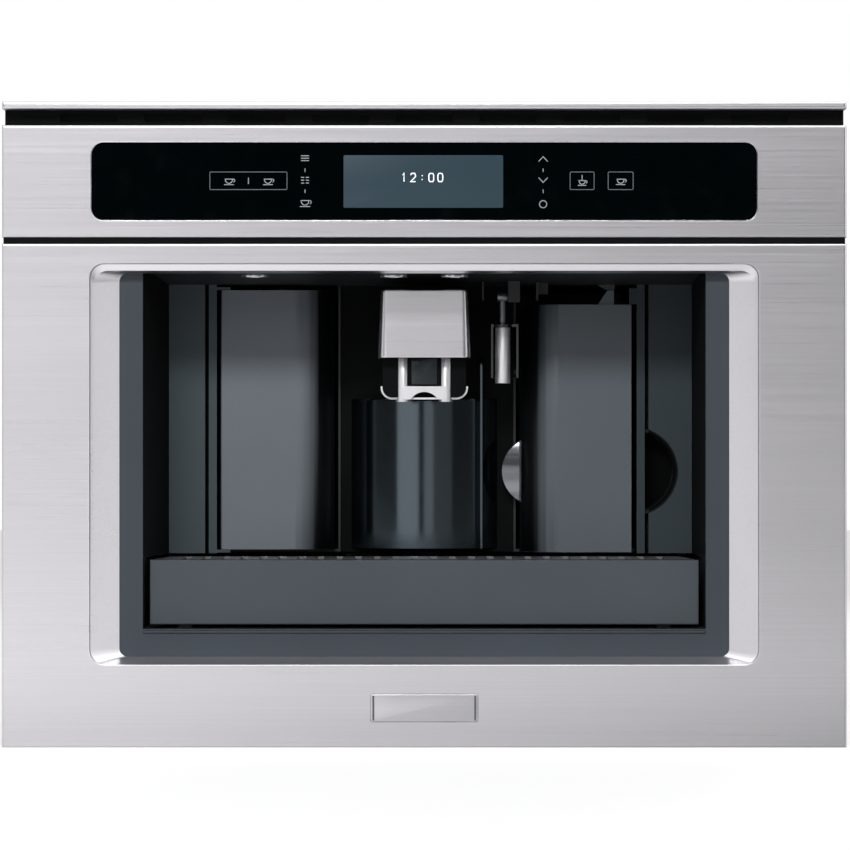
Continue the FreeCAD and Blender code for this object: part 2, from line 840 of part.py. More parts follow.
def service_door():
    door = curved_cover(door_x0, door_x1, door_z0, door_z1, door_side_d)
    corner = Vector(door_x0, y_at(niche_depth), 0)
    door = fillet_where(door, cover_t, lambda p: abs(p.x - corner.x) < 0.01 and abs(p.y - corner.y) < 0.01)
    ears = []
    ear_h = hinge_len + 1.5
    for z0, z1 in ((door_z0, door_z0 + ear_h), (door_z1 - ear_h, door_z1)):
        ears.append(box(door_x0 + 1.5, hinge_x + 5, niche_depth + 1.5, hinge_depth + 3.4, z0, z1))
    low = door_z0 + pull_z
    pull = box(door_x1 - 9, door_x1 - 4, niche_depth + door_bend_r / 2, bay_front - 4, low, low + pull_h)
    pull = pull.common(curved_cover(door_x0, door_x1, door_z0, door_z1, door_side_d))
    door = fuse(door, *ears, pull)
    pins = [
        rod_z(hinge_x, hinge_depth, hinge_r + pin_gap, door_z0 - 1, door_z0 + hinge_len + slide_gap),
        rod_z(hinge_x, hinge_depth, hinge_r + pin_gap, door_z1 - hinge_len - slide_gap, door_z1 + 1),
    ]
    return cut(door, *pins)


def tank_front():
    """Grey cover on the tank, mirrored from the door, notched round the clear finger boss."""
    cover = curved_cover(tank_x1, tank_x0, tank_z0, tank_z1, door_bend_r)
    front = bay_front - boss_d - 2 - slide_gap
    notch = rod_y(tank_x0 + boss_in, boss_z, boss_r + seat_gap, front, bay_front)
    latch_x = tank_x1 - latch_in - 2 * slide_gap
    top = ceiling_z - latch_drop - 2 * slide_gap
    tooth = front_prism(
        [
            (latch_x - latch_w + 2, tank_z1 - 0.5),
            (latch_x, tank_z1 - 0.5),
            (latch_x, top),
            (latch_x - latch_w / 3, top),
        ],
        niche_depth + 2,
        niche_depth + 9,
    )
    return fuse(cut(cover, notch), tooth)


def tank_body():
    """Clear open-topped tank with the round finger boss and a valve stub underneath."""
    x0 = tank_x0 + tank_wall_in
    x1 = tank_x1 - tank_wall_in
    front = niche_depth + door_bend_r
    back = front + tank_d
    z0 = niche_floor_z + bay_t + slide_gap
    z1 = tank_z1 - tank_body_drop
    t = tank_t
    block = box(x0, x1, front, back, z0, z1)
    block = fillet_where(block, tank_corner_r, lambda p: abs(p.y - y_at(back)) < 0.01)
    block = cut(block, box(x0 + t, x1 - t, front + t, back - t, z0 + t, z1 + 1))
    x = tank_x0 + boss_in
    boss = rod_y(x, boss_z, boss_r, front - boss_d, front + t)
    boss = cut(boss, rod_y(x, boss_z, boss_r - tank_wall_in, front - boss_d - 1, front - tank_wall_in))
    boss = boss.common(box(x - boss_r, x1, 0, front + 0.01, 0, front_height))
    return fuse(block, boss)


def tank_lid():
    """Lid with a rim inside the tank's walls and a filling port behind the cover."""
    x0 = tank_x0 + tank_wall_in
    x1 = tank_x1 - tank_wall_in
    front = niche_depth + door_bend_r
    back = front + tank_d
    z = tank_z1 - tank_body_drop
    lid = box(x0, x1, front, back, z, z + tank_lid_t)
    play = tank_t + seat_gap
    inner = play + 2
    rim = box(x0 + play, x1 - play, front + play, back - tank_corner_r, z - 4, z)
    rim = cut(rim, box(x0 + inner, x1 - inner, front + inner, back - tank_corner_r - 2, z - 5, z + 1))
    port = box(x0 + port_in, x1 - port_in, front + 20, front + 60, z - 9, z + 9)
    return cut(fuse(lid, rim), port)


def tray_front():
    face = box(-tray_x, tray_x, tray_set_back, basin_d0, tray_z0, tray_z1)
    return round_face_edges(face, 1.0, tray_set_back)


def tray_plan(inset, d0, d1, z0, z1):
    """The tray's outline between two depths: it narrows with the niche walls, then runs straight."""
    narrow = min(-left_post_x, right_post_x) - tray_side_play
    slope = (basin_x - narrow) / (niche_depth - basin_d0)

    def half_at(depth):
        return max(basin_x - slope * (depth - basin_d0), narrow) - inset

    depths = [d0] + [d for d in (niche_depth,) if d0 < d < d1] + [d1]
    right = [(half_at(d), d) for d in depths]
    return plan_prism(right + [(-x, d) for x, d in right[::-1]], z0, z1)


def tray_basin():
    """Drip basin with a cross wall behind the cup side, and the pin that the level float rides on."""
    z0 = tray_z0 + seat_gap
    basin = tray_plan(0, basin_d0, basin_d1, z0, basin_z1)
    t = tray_t
    split = basin_d0 + grid_d - t
    wet = tray_plan(t, basin_d0 + t, split, z0 + t, basin_z1 + 1)
    dry = tray_plan(t, split + t, basin_d1 - t, z0 + t, basin_z1 + 1)
    pin = rod_z(float_x, float_d, float_pin_r, z0 + t / 2, z0 + t + float_pin_h)
    return fuse(cut(basin, wet, dry), pin)


def cup_grid():
    """Slotted cup shelf on the basin's rim."""
    plate = tray_plan(0, basin_d0, basin_d0 + grid_d, basin_z1, basin_z1 + grid_t)
    span = 2 * (min(-left_post_x, right_post_x) - grid_border)
    pitch = span / grid_slots
    d0 = basin_d0 + grid_border
    d1 = basin_d0 + grid_d - grid_border
    half = grid_slot_w / 2
    slots = []
    for n in range(grid_slots):
        x = pitch * (n + 0.5) - span / 2
        slots.append(box(x - half, x + half, d0, d1, basin_z1 - 1, basin_z1 + grid_t + 1))
    return cut(plate, *slots)


def tray_float():
    """Red level float on the basin's pin: a disc in the water, a stem, and a button below the grid."""
    floor = tray_z0 + seat_gap + tray_t + slide_gap
    top = basin_z1 - slide_gap - float_travel
    disc = rod_z(float_x, float_d, float_disc_r, floor, floor + 9)
    stem = rod_z(float_x, float_d, float_r - 2, floor + 8, top)
    button = rod_z(float_x, float_d, float_r, top - 3, top)
    bore = rod_z(float_x, float_d, float_pin_r + slide_gap, floor - 1, floor + float_pin_h + slide_gap)
    return cut(fuse(disc, stem, button), bore)


def grounds_box():
    d0 = basin_d0 + grid_d + 1.5
    d1 = basin_d1 - tray_t - 1.5
    z0 = tray_z0 + tray_t + 2 * seat_gap
    x0 = grounds_x - grounds_w / 2
    x1 = grounds_x + grounds_w / 2
    t = tray_t
    bin_ = box(x0, x1, d0, d1, z0, z0 + grounds_h)
    return cut(bin_, box(x0 + t, x1 - t, d0 + t, d1 - t, z0 + t, z0 + grounds_h + 1))


# ---- Dispenser ----


def hood_block(inset, d0, d1, z0, z1):
    """Block inside the hood's flared sides, set in by the given amount."""

    def half_at(z):
        share = (z - head_z0) / head_h
        return (head_w + (head_top_w - head_w) * share) / 2 - inset

    low, high = half_at(z0), half_at(z1)
    return front_prism([(-low, z0), (low, z0), (high, z1), (-high, z1)], d0, d1)


def dispenser_cover():
    """Brushed steel hood: sides that flare downwards, round corners, open below and behind."""
    t = head_t
    hood = hood_block(0, head_d0, head_d0 + head_d, head_z0, head_z1)
    inner = hood_block(t, head_d0 + t, head_d0 + head_d + 1, head_z0 - 1, head_z1 - t)
    return cut(round_uprights(hood, head_r, head_d0), round_uprights(inner, head_r - t, head_d0 + t))


def dispenser_body():
    """Black carriage: core inside the hood, nose below it, and the tongue that runs in the slot."""
    gap = head_t + seat_gap
    back = head_d0 + head_d
    front = head_d0 + nose_in
    core = hood_block(gap, head_d0 + head_r + gap, back, head_z0, head_z1 - gap)
    nose = rounded_plate(-nose_w / 2, nose_w / 2, nose_z0, head_z0 + 2 * nose_r, nose_r, front, back)
    bridge_top = nose_z0 + bridge_h + seat_gap
    pane = box(-pane_w / 2, pane_w / 2, front - pane_t, front + 1, bridge_top + 1, head_z0)
    half = slot_w / 2
    end = bay_front + catch_d
    low, high = tongue_z - tongue_h / 2, tongue_z + tongue_h / 2
    tongue = box(slide_gap - half, half - slide_gap, back - 1, end, low, high)
    grip = half + catch_lip
    catch = box(-grip, grip, bay_front + wall_t + 1, end, tongue_z - catch_h / 2, tongue_z + catch_h / 2)
    body = fuse(core, nose, pane, tongue, catch)
    holes = []
    for x in (-spout_x, spout_x):
        holes.append(rod_z(x, head_d0 + spout_in, spout_r + seat_gap, nose_z0 - 1, head_z0 + 6))
    recess = box(-spout_x, spout_x, 0, head_d0 + bridge_in + bridge_d + seat_gap, nose_z0 - 1, bridge_top)
    return cut(body, *holes, recess)


def coffee_spouts():
    """Bright casting: two round spouts joined by an arched bridge, with turned-up ends round the nose."""
    depth = head_d0 + spout_in
    low = head_z0 - spout_drop
    top = nose_z0 + bridge_h
    tubes = [rod_z(x, depth, spout_r, low, head_z0 + 5) for x in (-spout_x, spout_x)]
    front = head_d0 + bridge_in
    bridge = box(-spout_x, spout_x, front, front + bridge_d, nose_z0 - band_t, top)
    arch_r = spout_x - spout_r + 1.0
    arch = rod_y(0, nose_z0 + bridge_h / 2 - arch_r, arch_r, front - 1, front + bridge_d + 1)
    casting = fuse(cut(bridge, arch), *tubes)
    half = nose_w / 2
    play = seat_gap / 4
    d0, d1 = depth - 2, depth + 4
    outer = rounded_plate(
        -half - band_t, half + band_t, nose_z0 - band_t, head_z0 - 4, nose_r + band_t, d0, d1
    )
    inner = rounded_plate(-half - play, half + play, nose_z0 - play, head_z0, nose_r, d0 - 1, d1 + 1)
    above = box(-head_w, head_w, d0 - 1, d1 + 1, top, head_z0)
    bores = [rod_z(x, depth, spout_bore, low - 1, head_z0 + 3) for x in (-spout_x, spout_x)]
    return cut(fuse(casting, cut(outer, inner, above)), *bores)


# ---- Wand ----


def wand_tube():
    """Thin steam tube hanging from the eye that turns on the mount's pin."""
    half = wand_eye_w / 2
    eye = rod_x(wand_d, wand_z, wand_eye_r, wand_x - half, wand_x + half)
    tube = rod_z(wand_x, wand_d, wand_r, sleeve_z0 + 6, wand_z)
    hole = rod_x(wand_d, wand_z, wand_pin_r + pin_gap, wand_x - half - 1, wand_x + half + 1)
    return cut(fuse(eye, tube), hole)


def wand_sleeve():
    sleeve = rod_z(wand_x, wand_d, sleeve_r, sleeve_z0, sleeve_z0 + sleeve_h)
    bore = rod_z(wand_x, wand_d, wand_r + seat_gap, sleeve_z0 + 6 - seat_gap, sleeve_z0 + sleeve_h + 1)
    tip = rod_z(wand_x, wand_d, 1.2, sleeve_z0 - 1, sleeve_z0 + 9)
    return cut(sleeve, bore, tip)


def wand_guard():
    """Black finger guard: a round-backed trough behind the bright sleeve, joined by two webs."""
    z0 = sleeve_z0 + 4
    z1 = z0 + guard_h
    outer = rod_z(wand_x + 1.5, wand_d, guard_r, z0, z1)
    hollow = rod_z(wand_x + 1.5, wand_d, guard_r - 1.6, z0 - 1, z1 - 2)
    front = box(wand_x - 20, wand_x + 20, wand_d - 20, wand_d - 1, z0 - 1, z1 + 1)
    trough = cut(outer, hollow, front)
    web = box(wand_x - 1, wand_x + 1, wand_d + sleeve_r - 1, wand_d + guard_r - 1, z0 + 4, z1)
    cap = rod_z(wand_x, wand_d, sleeve_r + 1.2, z1 - 2, z1)
    trough = fuse(trough, web, cap)
    keep = sleeve_z0 + sleeve_h
    return cut(
        trough,
        rod_z(wand_x, wand_d, sleeve_r + seat_gap / 2, z0 - 2, keep + seat_gap / 2),
        rod_z(wand_x, wand_d, wand_r + seat_gap, z0, z1 + 1),
    )


# ---- Bays, deck and casing ----


def open_bay(x0, x1, z0, z1):
    """Five-walled bay, open to the front."""
    t = bay_t
    shell = box(x0, x1, bay_front, bay_back, z0, z1)
    return cut(shell, box(x0 + t, x1 - t, bay_front - 1, bay_back - t, z0 + t, z1 - t))


def infuser_bay():
    bay = open_bay(left_jamb_end - bay_t, back_x0, niche_floor_z, bay_top)
    half = chamber_r + 4
    low, high = niche_floor_z - 1, niche_floor_z + bay_t + 1
    drop = box(brew_x - half, brew_x + half, bay_front + 12, basin_d1 - 10, low, high)
    low, high = bay_top - bay_t - 1, bay_top + 1
    filler = rod_z(filler_x, filler_d, pipe_r + 0.5, low, high)
    stem = rod_z(brew_x, brew_d, stem_r + seat_gap, low, high)
    return cut(bay, drop, filler, stem)


def tank_bay():
    return open_bay(back_x1, right_jamb_end + bay_t, niche_floor_z, bay_top)


def tray_deck():
    """Tub that the drip tray slides in, with a foot at each corner down to the base."""
    x = mouth_x + deck_t
    z0 = mouth_z0 - deck_t
    d0 = tray_set_back
    d1 = basin_d1 + 6
    tub = box(-x, x, d0, d1, z0, niche_floor_z)
    hollow = box(deck_t - x, x - deck_t, d0 - 1, d1 - deck_t, z0 + deck_t, niche_floor_z + 1)
    runners = []
    half = deck_rail_w / 2
    top = tray_z0 + seat_gap - slide_gap
    reach = min(-left_post_x, right_post_x) - deck_rail_in
    for middle in (-reach, reach):
        runners.append(box(middle - half, middle + half, d0 + 6, d1 - deck_t, mouth_z0, top))
    feet = []
    half = deck_foot_w / 2
    for fx in (-x + deck_rail_in, x - deck_rail_in):
        for fd in (d0 + deck_foot_in, d1 - deck_foot_in):
            feet.append(box(fx - half, fx + half, fd - deck_t, fd + deck_t, case_z0 + case_sheet, z0))
    return fuse(cut(tub, hollow), *runners, *feet)


def base_pan():
    x = case_half - case_sheet
    d1 = rear_depth - case_sheet
    z0 = case_z0
    pan = box(-x, x, flange_depth, d1, z0, z0 + 14)
    t = case_sheet
    return cut(pan, box(t - x, x - t, flange_depth + t, d1 - t, z0 + t, z0 + 15))


def side_panels():
    """Both sides of the casing, each with its folded front edge and a row of air slots."""
    t = case_sheet
    d0 = flange_depth
    d1 = rear_depth - t
    slots = []
    for n in range(vent_slots):
        d = d1 - 40 - side_slot_pitch * n
        slots.append(box(-case_half - 1, case_half + 1, d - 3, d + 3, case_z1 - 90, case_z1 - 30))
    pair = []
    for sign in (-1, 1):
        x0, x1 = sorted((sign * case_half, sign * (case_half - t)))
        panel = box(x0, x1, d0, d1, case_z0, case_z1)
        x0, x1 = sorted((sign * case_half, sign * (case_half - 12)))
        fold = box(x0, x1, d0, d0 + t, case_z0 + 15, case_z1 - t)
        pair.append(cut(fuse(panel, fold), *slots))
    return Part.makeCompound(pair)


def rear_panel():
    t = case_sheet
    d0 = rear_depth - t
    panel = box(-case_half, case_half, d0, rear_depth, case_z0, case_z1)
    slots = []
    half = rear_slot_w / 2
    for n in range(vent_slots):
        z = rear_slot_z + rear_slot_pitch * n
        for x in (-rear_slot_x, rear_slot_x):
            slots.append(box(x - half, x + half, d0 - 1, rear_depth + 1, z, z + rear_slot_pitch / 3))
    holes = []
    for x, w, h in ((inlet_x, inlet_w, inlet_h), (switch_x, switch_w, switch_h)):
        holes.append(box(x - w / 2, x + w / 2, d0 - 1, rear_depth + 1, inlet_z - h / 2, inlet_z + h / 2))
    return cut(panel, *slots, *holes)


def top_cover():
    """Lid of the casing with openings over the bean hopper, the filler and the grind knob."""
    t = case_sheet
    x = case_half - t
    cover = box(-x, x, flange_depth, rear_depth - t, case_z1 - t, case_z1)
    x0, x1, d0, d1 = hopper_box()
    low, high = case_z1 - t - 1, case_z1 + 1
    hole = box(x0 + lid_edge, x1 - lid_edge, d0 + lid_edge, d1 - lid_edge, low, high)
    half = filler_w / 2 - lid_edge
    filler = box(filler_x - half, filler_x + half, filler_d - half, filler_d + half, low, high)
    knob = rod_z(knob_x, knob_d, knob_shaft_r + 2 * slide_gap, low, high)
    return fuse(cut(cover, hole, filler, knob), *lid_ears(x0, x1, d1 + lid_edge))


def chassis_shelf():
    """Sheet shelf across the casing that carries the grinder above the bays."""
    x = case_half - case_sheet
    shelf = box(-x, x, bay_front + seat_gap, rear_depth - case_sheet, shelf_z, shelf_top)
    holes = []
    for x, d, radius in (
        (grinder_x, grinder_d, 3 * shaft_r),
        (filler_x, filler_d, pipe_r + 1.5),
        (brew_x, brew_d, stem_r + 1.0),
    ):
        holes.append(rod_z(x, d, radius, shelf_z - 1, shelf_top + 1))
    return cut(shelf, *holes)


# ---- Runners ----


def runner_section(u0, u1, v, lip):
    """C section open away from the cabinet: u across, v half height, lip turned in."""
    t = slide_sheet
    half = [
        (u0, 0),
        (u0, v),
        (u1, v),
        (u1, v - t - lip),
        (u1 - t, v - t - lip),
        (u1 - t, v - t),
        (u0 + t, v - t),
        (u0 + t, 0),
    ]
    return half + [(u, -w) for u, w in half[::-1]][1:-1]


def runner_pair(section, d0, d1):
    """The same section run front to back on both sides of the cabinet."""
    pair = []
    for sign in (-1, 1):
        points = [(sign * (cabinet_half - u), slide_z + v) for u, v in section]
        pair.append(front_prism(points, d0, d1))
    return pair


def cabinet_rails():
    """Fixed C rails with the screw holes that hold the machine in the cabinet."""
    section = runner_section(0, slide_section, slide_h / 2, slide_lip)
    found = []
    for rail in runner_pair(section, slide_d, slide_d + slide_len):
        holes = []
        middle = slide_d + slide_len / 2
        for d in (middle - screw_pitch / 2, middle + screw_pitch / 2):
            holes.append(rod_x(d, slide_z, screw_r, -cabinet_half - 1, -cabinet_half + 3))
            holes.append(rod_x(d, slide_z, screw_r, cabinet_half - 3, cabinet_half + 1))
        found.append(cut(rail, *holes))
    return Part.makeCompound(found)


def middle_rails():
    play = slide_sheet + slide_gap
    section = runner_section(play, slide_section - play, slide_h / 2 - play, slide_lip)
    return Part.makeCompound(runner_pair(section, slide_d, slide_d + slide_len))


def machine_rails():
    """Hat section screwed to the casing, its brim held inside the middle rail."""
    t = slide_sheet
    u0 = 2 * (slide_sheet + slide_gap)
    brim = u0 + t
    v = slide_h / 2 - 2 * (slide_sheet + slide_gap)
    crown = v - t - slide_lip + slide_sheet - 2 * slide_gap
    half = [
        (u0, 0),
        (u0, v),
        (brim, v),
        (brim, crown),
        (slide_t, crown),
        (slide_t, crown - t),
        (slide_t, 0),
    ]
    outline = half + [(u, -w) for u, w in half[::-1]][1:-1]
    solid = runner_pair(outline, slide_d, slide_d + slide_len)
    hollow = [
        (u0 - 1, crown - t),
        (slide_t - t, crown - t),
        (slide_t - t, t - crown),
        (u0 - 1, t - crown),
    ]
    tools = runner_pair(hollow, slide_d - 1, slide_d + slide_len + 1)
    return Part.makeCompound([cut(s, h) for s, h in zip(solid, tools)])


# ---- Brewing unit ----


def brew_frame():
    """Two cheeks, a foot with the grounds chute and a rear bridge, which guide the brewing chamber."""
    t = brew_frame_t
    z0 = niche_floor_z + bay_t + seat_gap
    x = chamber_r + 5
    d0 = brew_d - cheek_front
    d1 = brew_d + spindle_back + cheek_back
    z1 = z0 + brew_frame_h
    cheeks = []
    for side in (-1, 1):
        a, b = sorted((brew_x + side * x, brew_x + side * (x + t)))
        cheek = box(a, b, d0, d1, z0, z1)
        window = box(a - 1, b + 1, d0 + 14, d1 - 24, z0 + 60, z1 - 24)
        cheeks.append(cut(cheek, window))
    foot = box(brew_x - x, brew_x + x, d0, d1, z0, z0 + t)
    chute = box(brew_x - x + 8, brew_x + x - 8, d0 + 8, basin_d1 - 12, z0 - 1, z0 + t + 1)
    foot = cut(foot, chute)
    bridge = box(brew_x - x, brew_x + x, d1 - t, d1, z0, z1)
    half = bearing_w / 2
    screw_d = brew_d + spindle_back
    top = box(brew_x - half, brew_x + half, screw_d - half, d1, z1 - t, z1)
    low = box(brew_x - half, brew_x + half, screw_d - half, d1, z0, z0 + t)
    tabs = []
    for middle in (brew_x - bearing_w, brew_x + bearing_w):
        tabs.append(box(middle - 7, middle + 7, d0 - 4, d0, z0, z0 + 16))
    frame = fuse(foot, bridge, top, low, *cheeks, *tabs)
    spindle = rod_z(brew_x, screw_d, spindle_r + pin_gap, z0 + t / 2, z1 + 1)
    return cut(frame, spindle)


def brew_chamber():
    """Open cylinder with its floor piston, and the lug that rides on the spindle."""
    z1 = chamber_z0 + chamber_h
    cup = rod_z(brew_x, brew_d, chamber_r, chamber_z0, z1)
    screw_d = brew_d + spindle_back
    low, high = chamber_z0 + 8, chamber_z0 + 8 + bearing_w
    lug = box(brew_x - 10, brew_x + 10, brew_d + chamber_r - 4, screw_d + 5.5, low, high)
    reach = chamber_r + 4.5
    ears = box(brew_x - reach, brew_x + reach, brew_d - 5, brew_d + 5, chamber_z0 + 6, chamber_z0 + 16)
    cup = fuse(cup, lug, ears)
    bore = rod_z(brew_x, brew_d, chamber_bore, chamber_z0 + 12, z1 + 1)
    hole = rod_z(brew_x, screw_d, spindle_r + pin_gap, chamber_z0, z1)
    return cut(cup, bore, hole)


def upper_piston():
    """Fixed brewing head: ribbed stem from the bay's roof, piston and its seal ring."""
    top = piston_z0 + piston_h
    head = rod_z(brew_x, brew_d, chamber_bore - slide_gap, piston_z0, top)
    low = piston_z0 + ring_z
    groove = cut(
        rod_z(brew_x, brew_d, chamber_bore + 1, low, low + ring_h),
        rod_z(brew_x, brew_d, chamber_bore - ring_d, low - 1, low + ring_h + 1),
    )
    stem = rod_z(brew_x, brew_d, stem_r, top - 1, shelf_top + 9)
    flange = rod_z(brew_x, brew_d, 1.5 * stem_r, bay_top - 3 * bay_t, bay_top - bay_t)
    inlet = rod_x(brew_d, shelf_top + 5, hose_r, brew_x, brew_x + inlet_reach)
    return fuse(cut(head, groove), stem, flange, inlet)


def drive_spindle():
    """Lifting screw without its thread, and the drive dog on top."""
    z0 = niche_floor_z + bay_t + seat_gap + brew_frame_t / 2 + seat_gap
    z1 = niche_floor_z + bay_t + seat_gap + brew_frame_h
    d = brew_d + spindle_back
    screw = rod_z(brew_x, d, spindle_r, z0, z1 + slide_gap)
    dog = rod_z(brew_x, d, 7, z1 + slide_gap, z1 + 9)
    slot = box(brew_x - 1, brew_x + 1, d - 8, d + 8, z1 + 6, z1 + 10)
    return fuse(screw, cut(dog, slot))


# ---- Grinder, hopper, filler and knob ----


def grinder_body():
    """Round housing with its outer burr, a top throat for the beans and the ground-coffee spout."""
    z0 = shelf_top
    z1 = z0 + grinder_h
    body = rod_z(grinder_x, grinder_d, grinder_r, z0, z1)
    burr_z = z1 - lip_h - burr_h
    chamber = rod_z(grinder_x, grinder_d, burr_r + burr_play, z0 + 5, burr_z)
    outer = Part.makeCone(
        burr_r + burr_play, throat_r, burr_h, Vector(grinder_x, y_at(grinder_d), burr_z), Vector(0, 0, 1)
    )
    throat = rod_z(grinder_x, grinder_d, throat_r, z1 - lip_h, z1 + 1)
    shaft = rod_z(grinder_x, grinder_d, shaft_r + 1, z0 - 1, z0 + 6)
    half = duct_w / 2
    spout = box(filler_x + 16, grinder_x, grinder_d - half, grinder_d + half, z0 + 4, z0 + 20)
    duct = box(filler_x + 14, grinder_x, grinder_d - half + 2, grinder_d + half - 2, z0 + 6, z0 + 18)
    return cut(fuse(body, spout), chamber, outer, throat, shaft, duct)


def burr_cone():
    """Turning burr with V flutes between its cutting edges, on the motor's shaft."""
    z0 = shelf_top + grinder_h - lip_h - 2 - burr_h

    def star(radius):
        corners = []
        for n in range(2 * burr_flutes):
            turn = math.pi * n / burr_flutes
            reach = radius * (flute_share if n % 2 else 1.0)
            corners.append((grinder_x + reach * math.cos(turn), grinder_d + reach * math.sin(turn)))
        return corners

    burr = frustum(star(burr_r), star(burr_top_r), z0, z0 + burr_h)
    return fuse(burr, rod_z(grinder_x, grinder_d, shaft_r, shelf_z - 10, z0 + 1))


def grinder_motor():
    z1 = shelf_z
    can = rod_z(grinder_x, grinder_d, motor_r, z1 - motor_h, z1 - 6)
    half = motor_r + 4
    flange = box(grinder_x - half, grinder_x + half, grinder_d - half, grinder_d + half, z1 - 6, z1)
    tail = rod_z(grinder_x, grinder_d, 10, z1 - motor_h - 8, z1 - motor_h)
    return cut(fuse(can, flange, tail), rod_z(grinder_x, grinder_d, shaft_r + pin_gap, z1 - 12, z1 + 1))


def hopper_box():
    x0 = grinder_x - hopper_w / 2
    d0 = grinder_d - hopper_d / 2
    return x0, x0 + hopper_w, d0, d0 + hopper_d


def frustum(low, high, z0, z1):
    """Solid with plane sides between two level outlines of matching (x, depth) corners."""
    rings = [[Vector(x, y_at(d), z) for x, d in outline] for outline, z in ((low, z0), (high, z1))]
    faces = [Part.Face(Part.makePolygon(ring + ring[:1])) for ring in rings]
    for n in range(len(low)):
        m = (n + 1) % len(low)
        corners = [rings[0][n], rings[0][m], rings[1][m], rings[1][n]]
        faces.append(Part.Face(Part.makePolygon(corners + corners[:1])))
    solid = Part.Solid(Part.Shell(faces))
    solid.fixTolerance(1e-6)
    return solid if solid.Volume > 0 else solid.reversed()


def bean_hopper():
    """Clear box whose floor slopes on all four sides to a square throat over the burrs."""
    x0, x1, d0, d1 = hopper_box()
    z_top = case_z1 - case_sheet
    z_box = z_top - hopper_box_h
    z_low = shelf_top + grinder_h

    def corners(x0, x1, d0, d1):
        return [(x0, d0), (x1, d0), (x1, d1), (x0, d1)]

    def filled(inset, top):
        r = throat_r + throat_wall - inset
        mouth = (x0 + inset, x1 - inset, d0 + inset, d1 - inset)
        throat = (grinder_x - r, grinder_x + r, grinder_d - r, grinder_d + r)
        return fuse(frustum(corners(*throat), corners(*mouth), z_low, z_box), box(*mouth, z_box, top))

    return cut(filled(0, z_top), filled(hopper_t, z_top + 1))


def powder_filler():
    """Straight chute for ground coffee from the top of the casing to the brewing unit."""
    t = hopper_t
    z_top = case_z1 - case_sheet
    z_box = z_top - 16
    z_low = bay_top - bay_t

    def square(half, low, high):
        return box(filler_x - half, filler_x + half, filler_d - half, filler_d + half, low, high)

    half = filler_w / 2
    pipe = rod_z(filler_x, filler_d, pipe_r, z_low, z_box + 1)
    bore = rod_z(filler_x, filler_d, pipe_r - t, z_low - 1, z_box + t + 1)
    return cut(fuse(square(half, z_box, z_top), pipe), square(half - t, z_box + t, z_top + 1), bore)


def lid_ears(x0, x1, depth):
    """Two ears with pins on the top cover, behind a lid."""
    ears = []
    for x in (x0 + ear_in, x1 - ear_in):
        ears.append(box(x - 2, x + 2, depth - 3, depth + 3, case_z1 - case_sheet / 2, case_z1 + lid_t + 1))
        ears.append(rod_x(depth, case_z1 + lid_t - 1, lid_pin_r, x - 5, x + 5))
    return ears


def hinged_lid(x0, x1, d0, d1):
    """Flat lid with a rim that drops into the opening and a finger lip at the front."""
    z = case_z1 + slide_gap
    plate = box(x0, x1, d0, d1, z, z + lid_t)
    inset = lid_edge + lid_play
    inner = inset + 2
    back = d1 - lid_edge
    low = z - lid_rim_h
    rim = box(x0 + inset, x1 - inset, d0 + inset, back - inset, low, z)
    rim = cut(rim, box(x0 + inner, x1 - inner, d0 + inner, back - inner, low - 1, z + 1))
    middle = (x0 + x1) / 2
    lip = box(middle - 14, middle + 14, d0 - 5, d0, z, z + lid_t)
    return fuse(plate, rim, lip)


def bean_lid():
    x0, x1, d0, d1 = hopper_box()
    depth = d1 + lid_edge
    z = case_z1 + lid_t - 1
    lid = hinged_lid(x0, x1, d0, d1)
    knuckles = []
    pins = []
    for x in (x0 + ear_in, x1 - ear_in):
        arm = box(x - 9, x + 9, d1 - 1, depth, z - 1.7, z + 1)
        barrel = rod_x(depth, z, 1.9, x - 9, x + 9)
        ear_room = box(x - 2 - slide_gap, x + 2 + slide_gap, d1, depth + 9, z - 9, z + 9)
        knuckles.append(cut(fuse(arm, barrel), ear_room))
        pins.append(rod_x(depth, z, lid_pin_r + pin_gap, x - 5 - slide_gap, x + 5 + slide_gap))
    return cut(fuse(lid, *knuckles), *pins)


def powder_lid():
    """Lift-off lid with a hollow plug below and a finger grip on top."""
    half = filler_w / 2
    z = case_z1 + slide_gap

    def square(inset, low, high):
        reach = half - inset
        return box(filler_x - reach, filler_x + reach, filler_d - reach, filler_d + reach, low, high)

    inset = lid_edge + lid_play
    plug = cut(square(inset, z - lid_rim_h, z), square(inset + 2, z - lid_rim_h - 1, z - 1))
    grip = box(filler_x - 12, filler_x + 12, filler_d - 2, filler_d + 2, z + lid_t, z + lid_t + 4)
    return fuse(square(0, z, z + lid_t), plug, grip)


def grind_knob():
    """Fineness knob with eight finger flutes, on a shaft down to the grinder."""
    z0 = case_z1 + slide_gap
    knob = rod_z(knob_x, knob_d, knob_r, z0, z0 + knob_h)
    flutes = []
    reach = knob_r + 2.5
    for n in range(knob_flutes):
        turn = 2 * math.pi * n / knob_flutes
        x = knob_x + reach * math.cos(turn)
        d = knob_d + reach * math.sin(turn)
        flutes.append(rod_z(x, d, 4, z0 + 1.5, z0 + knob_h + 1))
    top = z0 + knob_h
    mark = box(knob_x - 0.8, knob_x + 0.8, knob_d - knob_r + 4, knob_d - 2, top - 0.6, top + 1)
    shaft = rod_z(knob_x, knob_d, knob_shaft_r, shelf_top + 4, z0 + 1)
    return fuse(cut(knob, *flutes, mark), shaft)


# ---- Water circuit and electrics ----


def boiler_place():
    return (back_x0 + back_x1) / 2 - 2, rear_depth - boiler_back, boiler_z


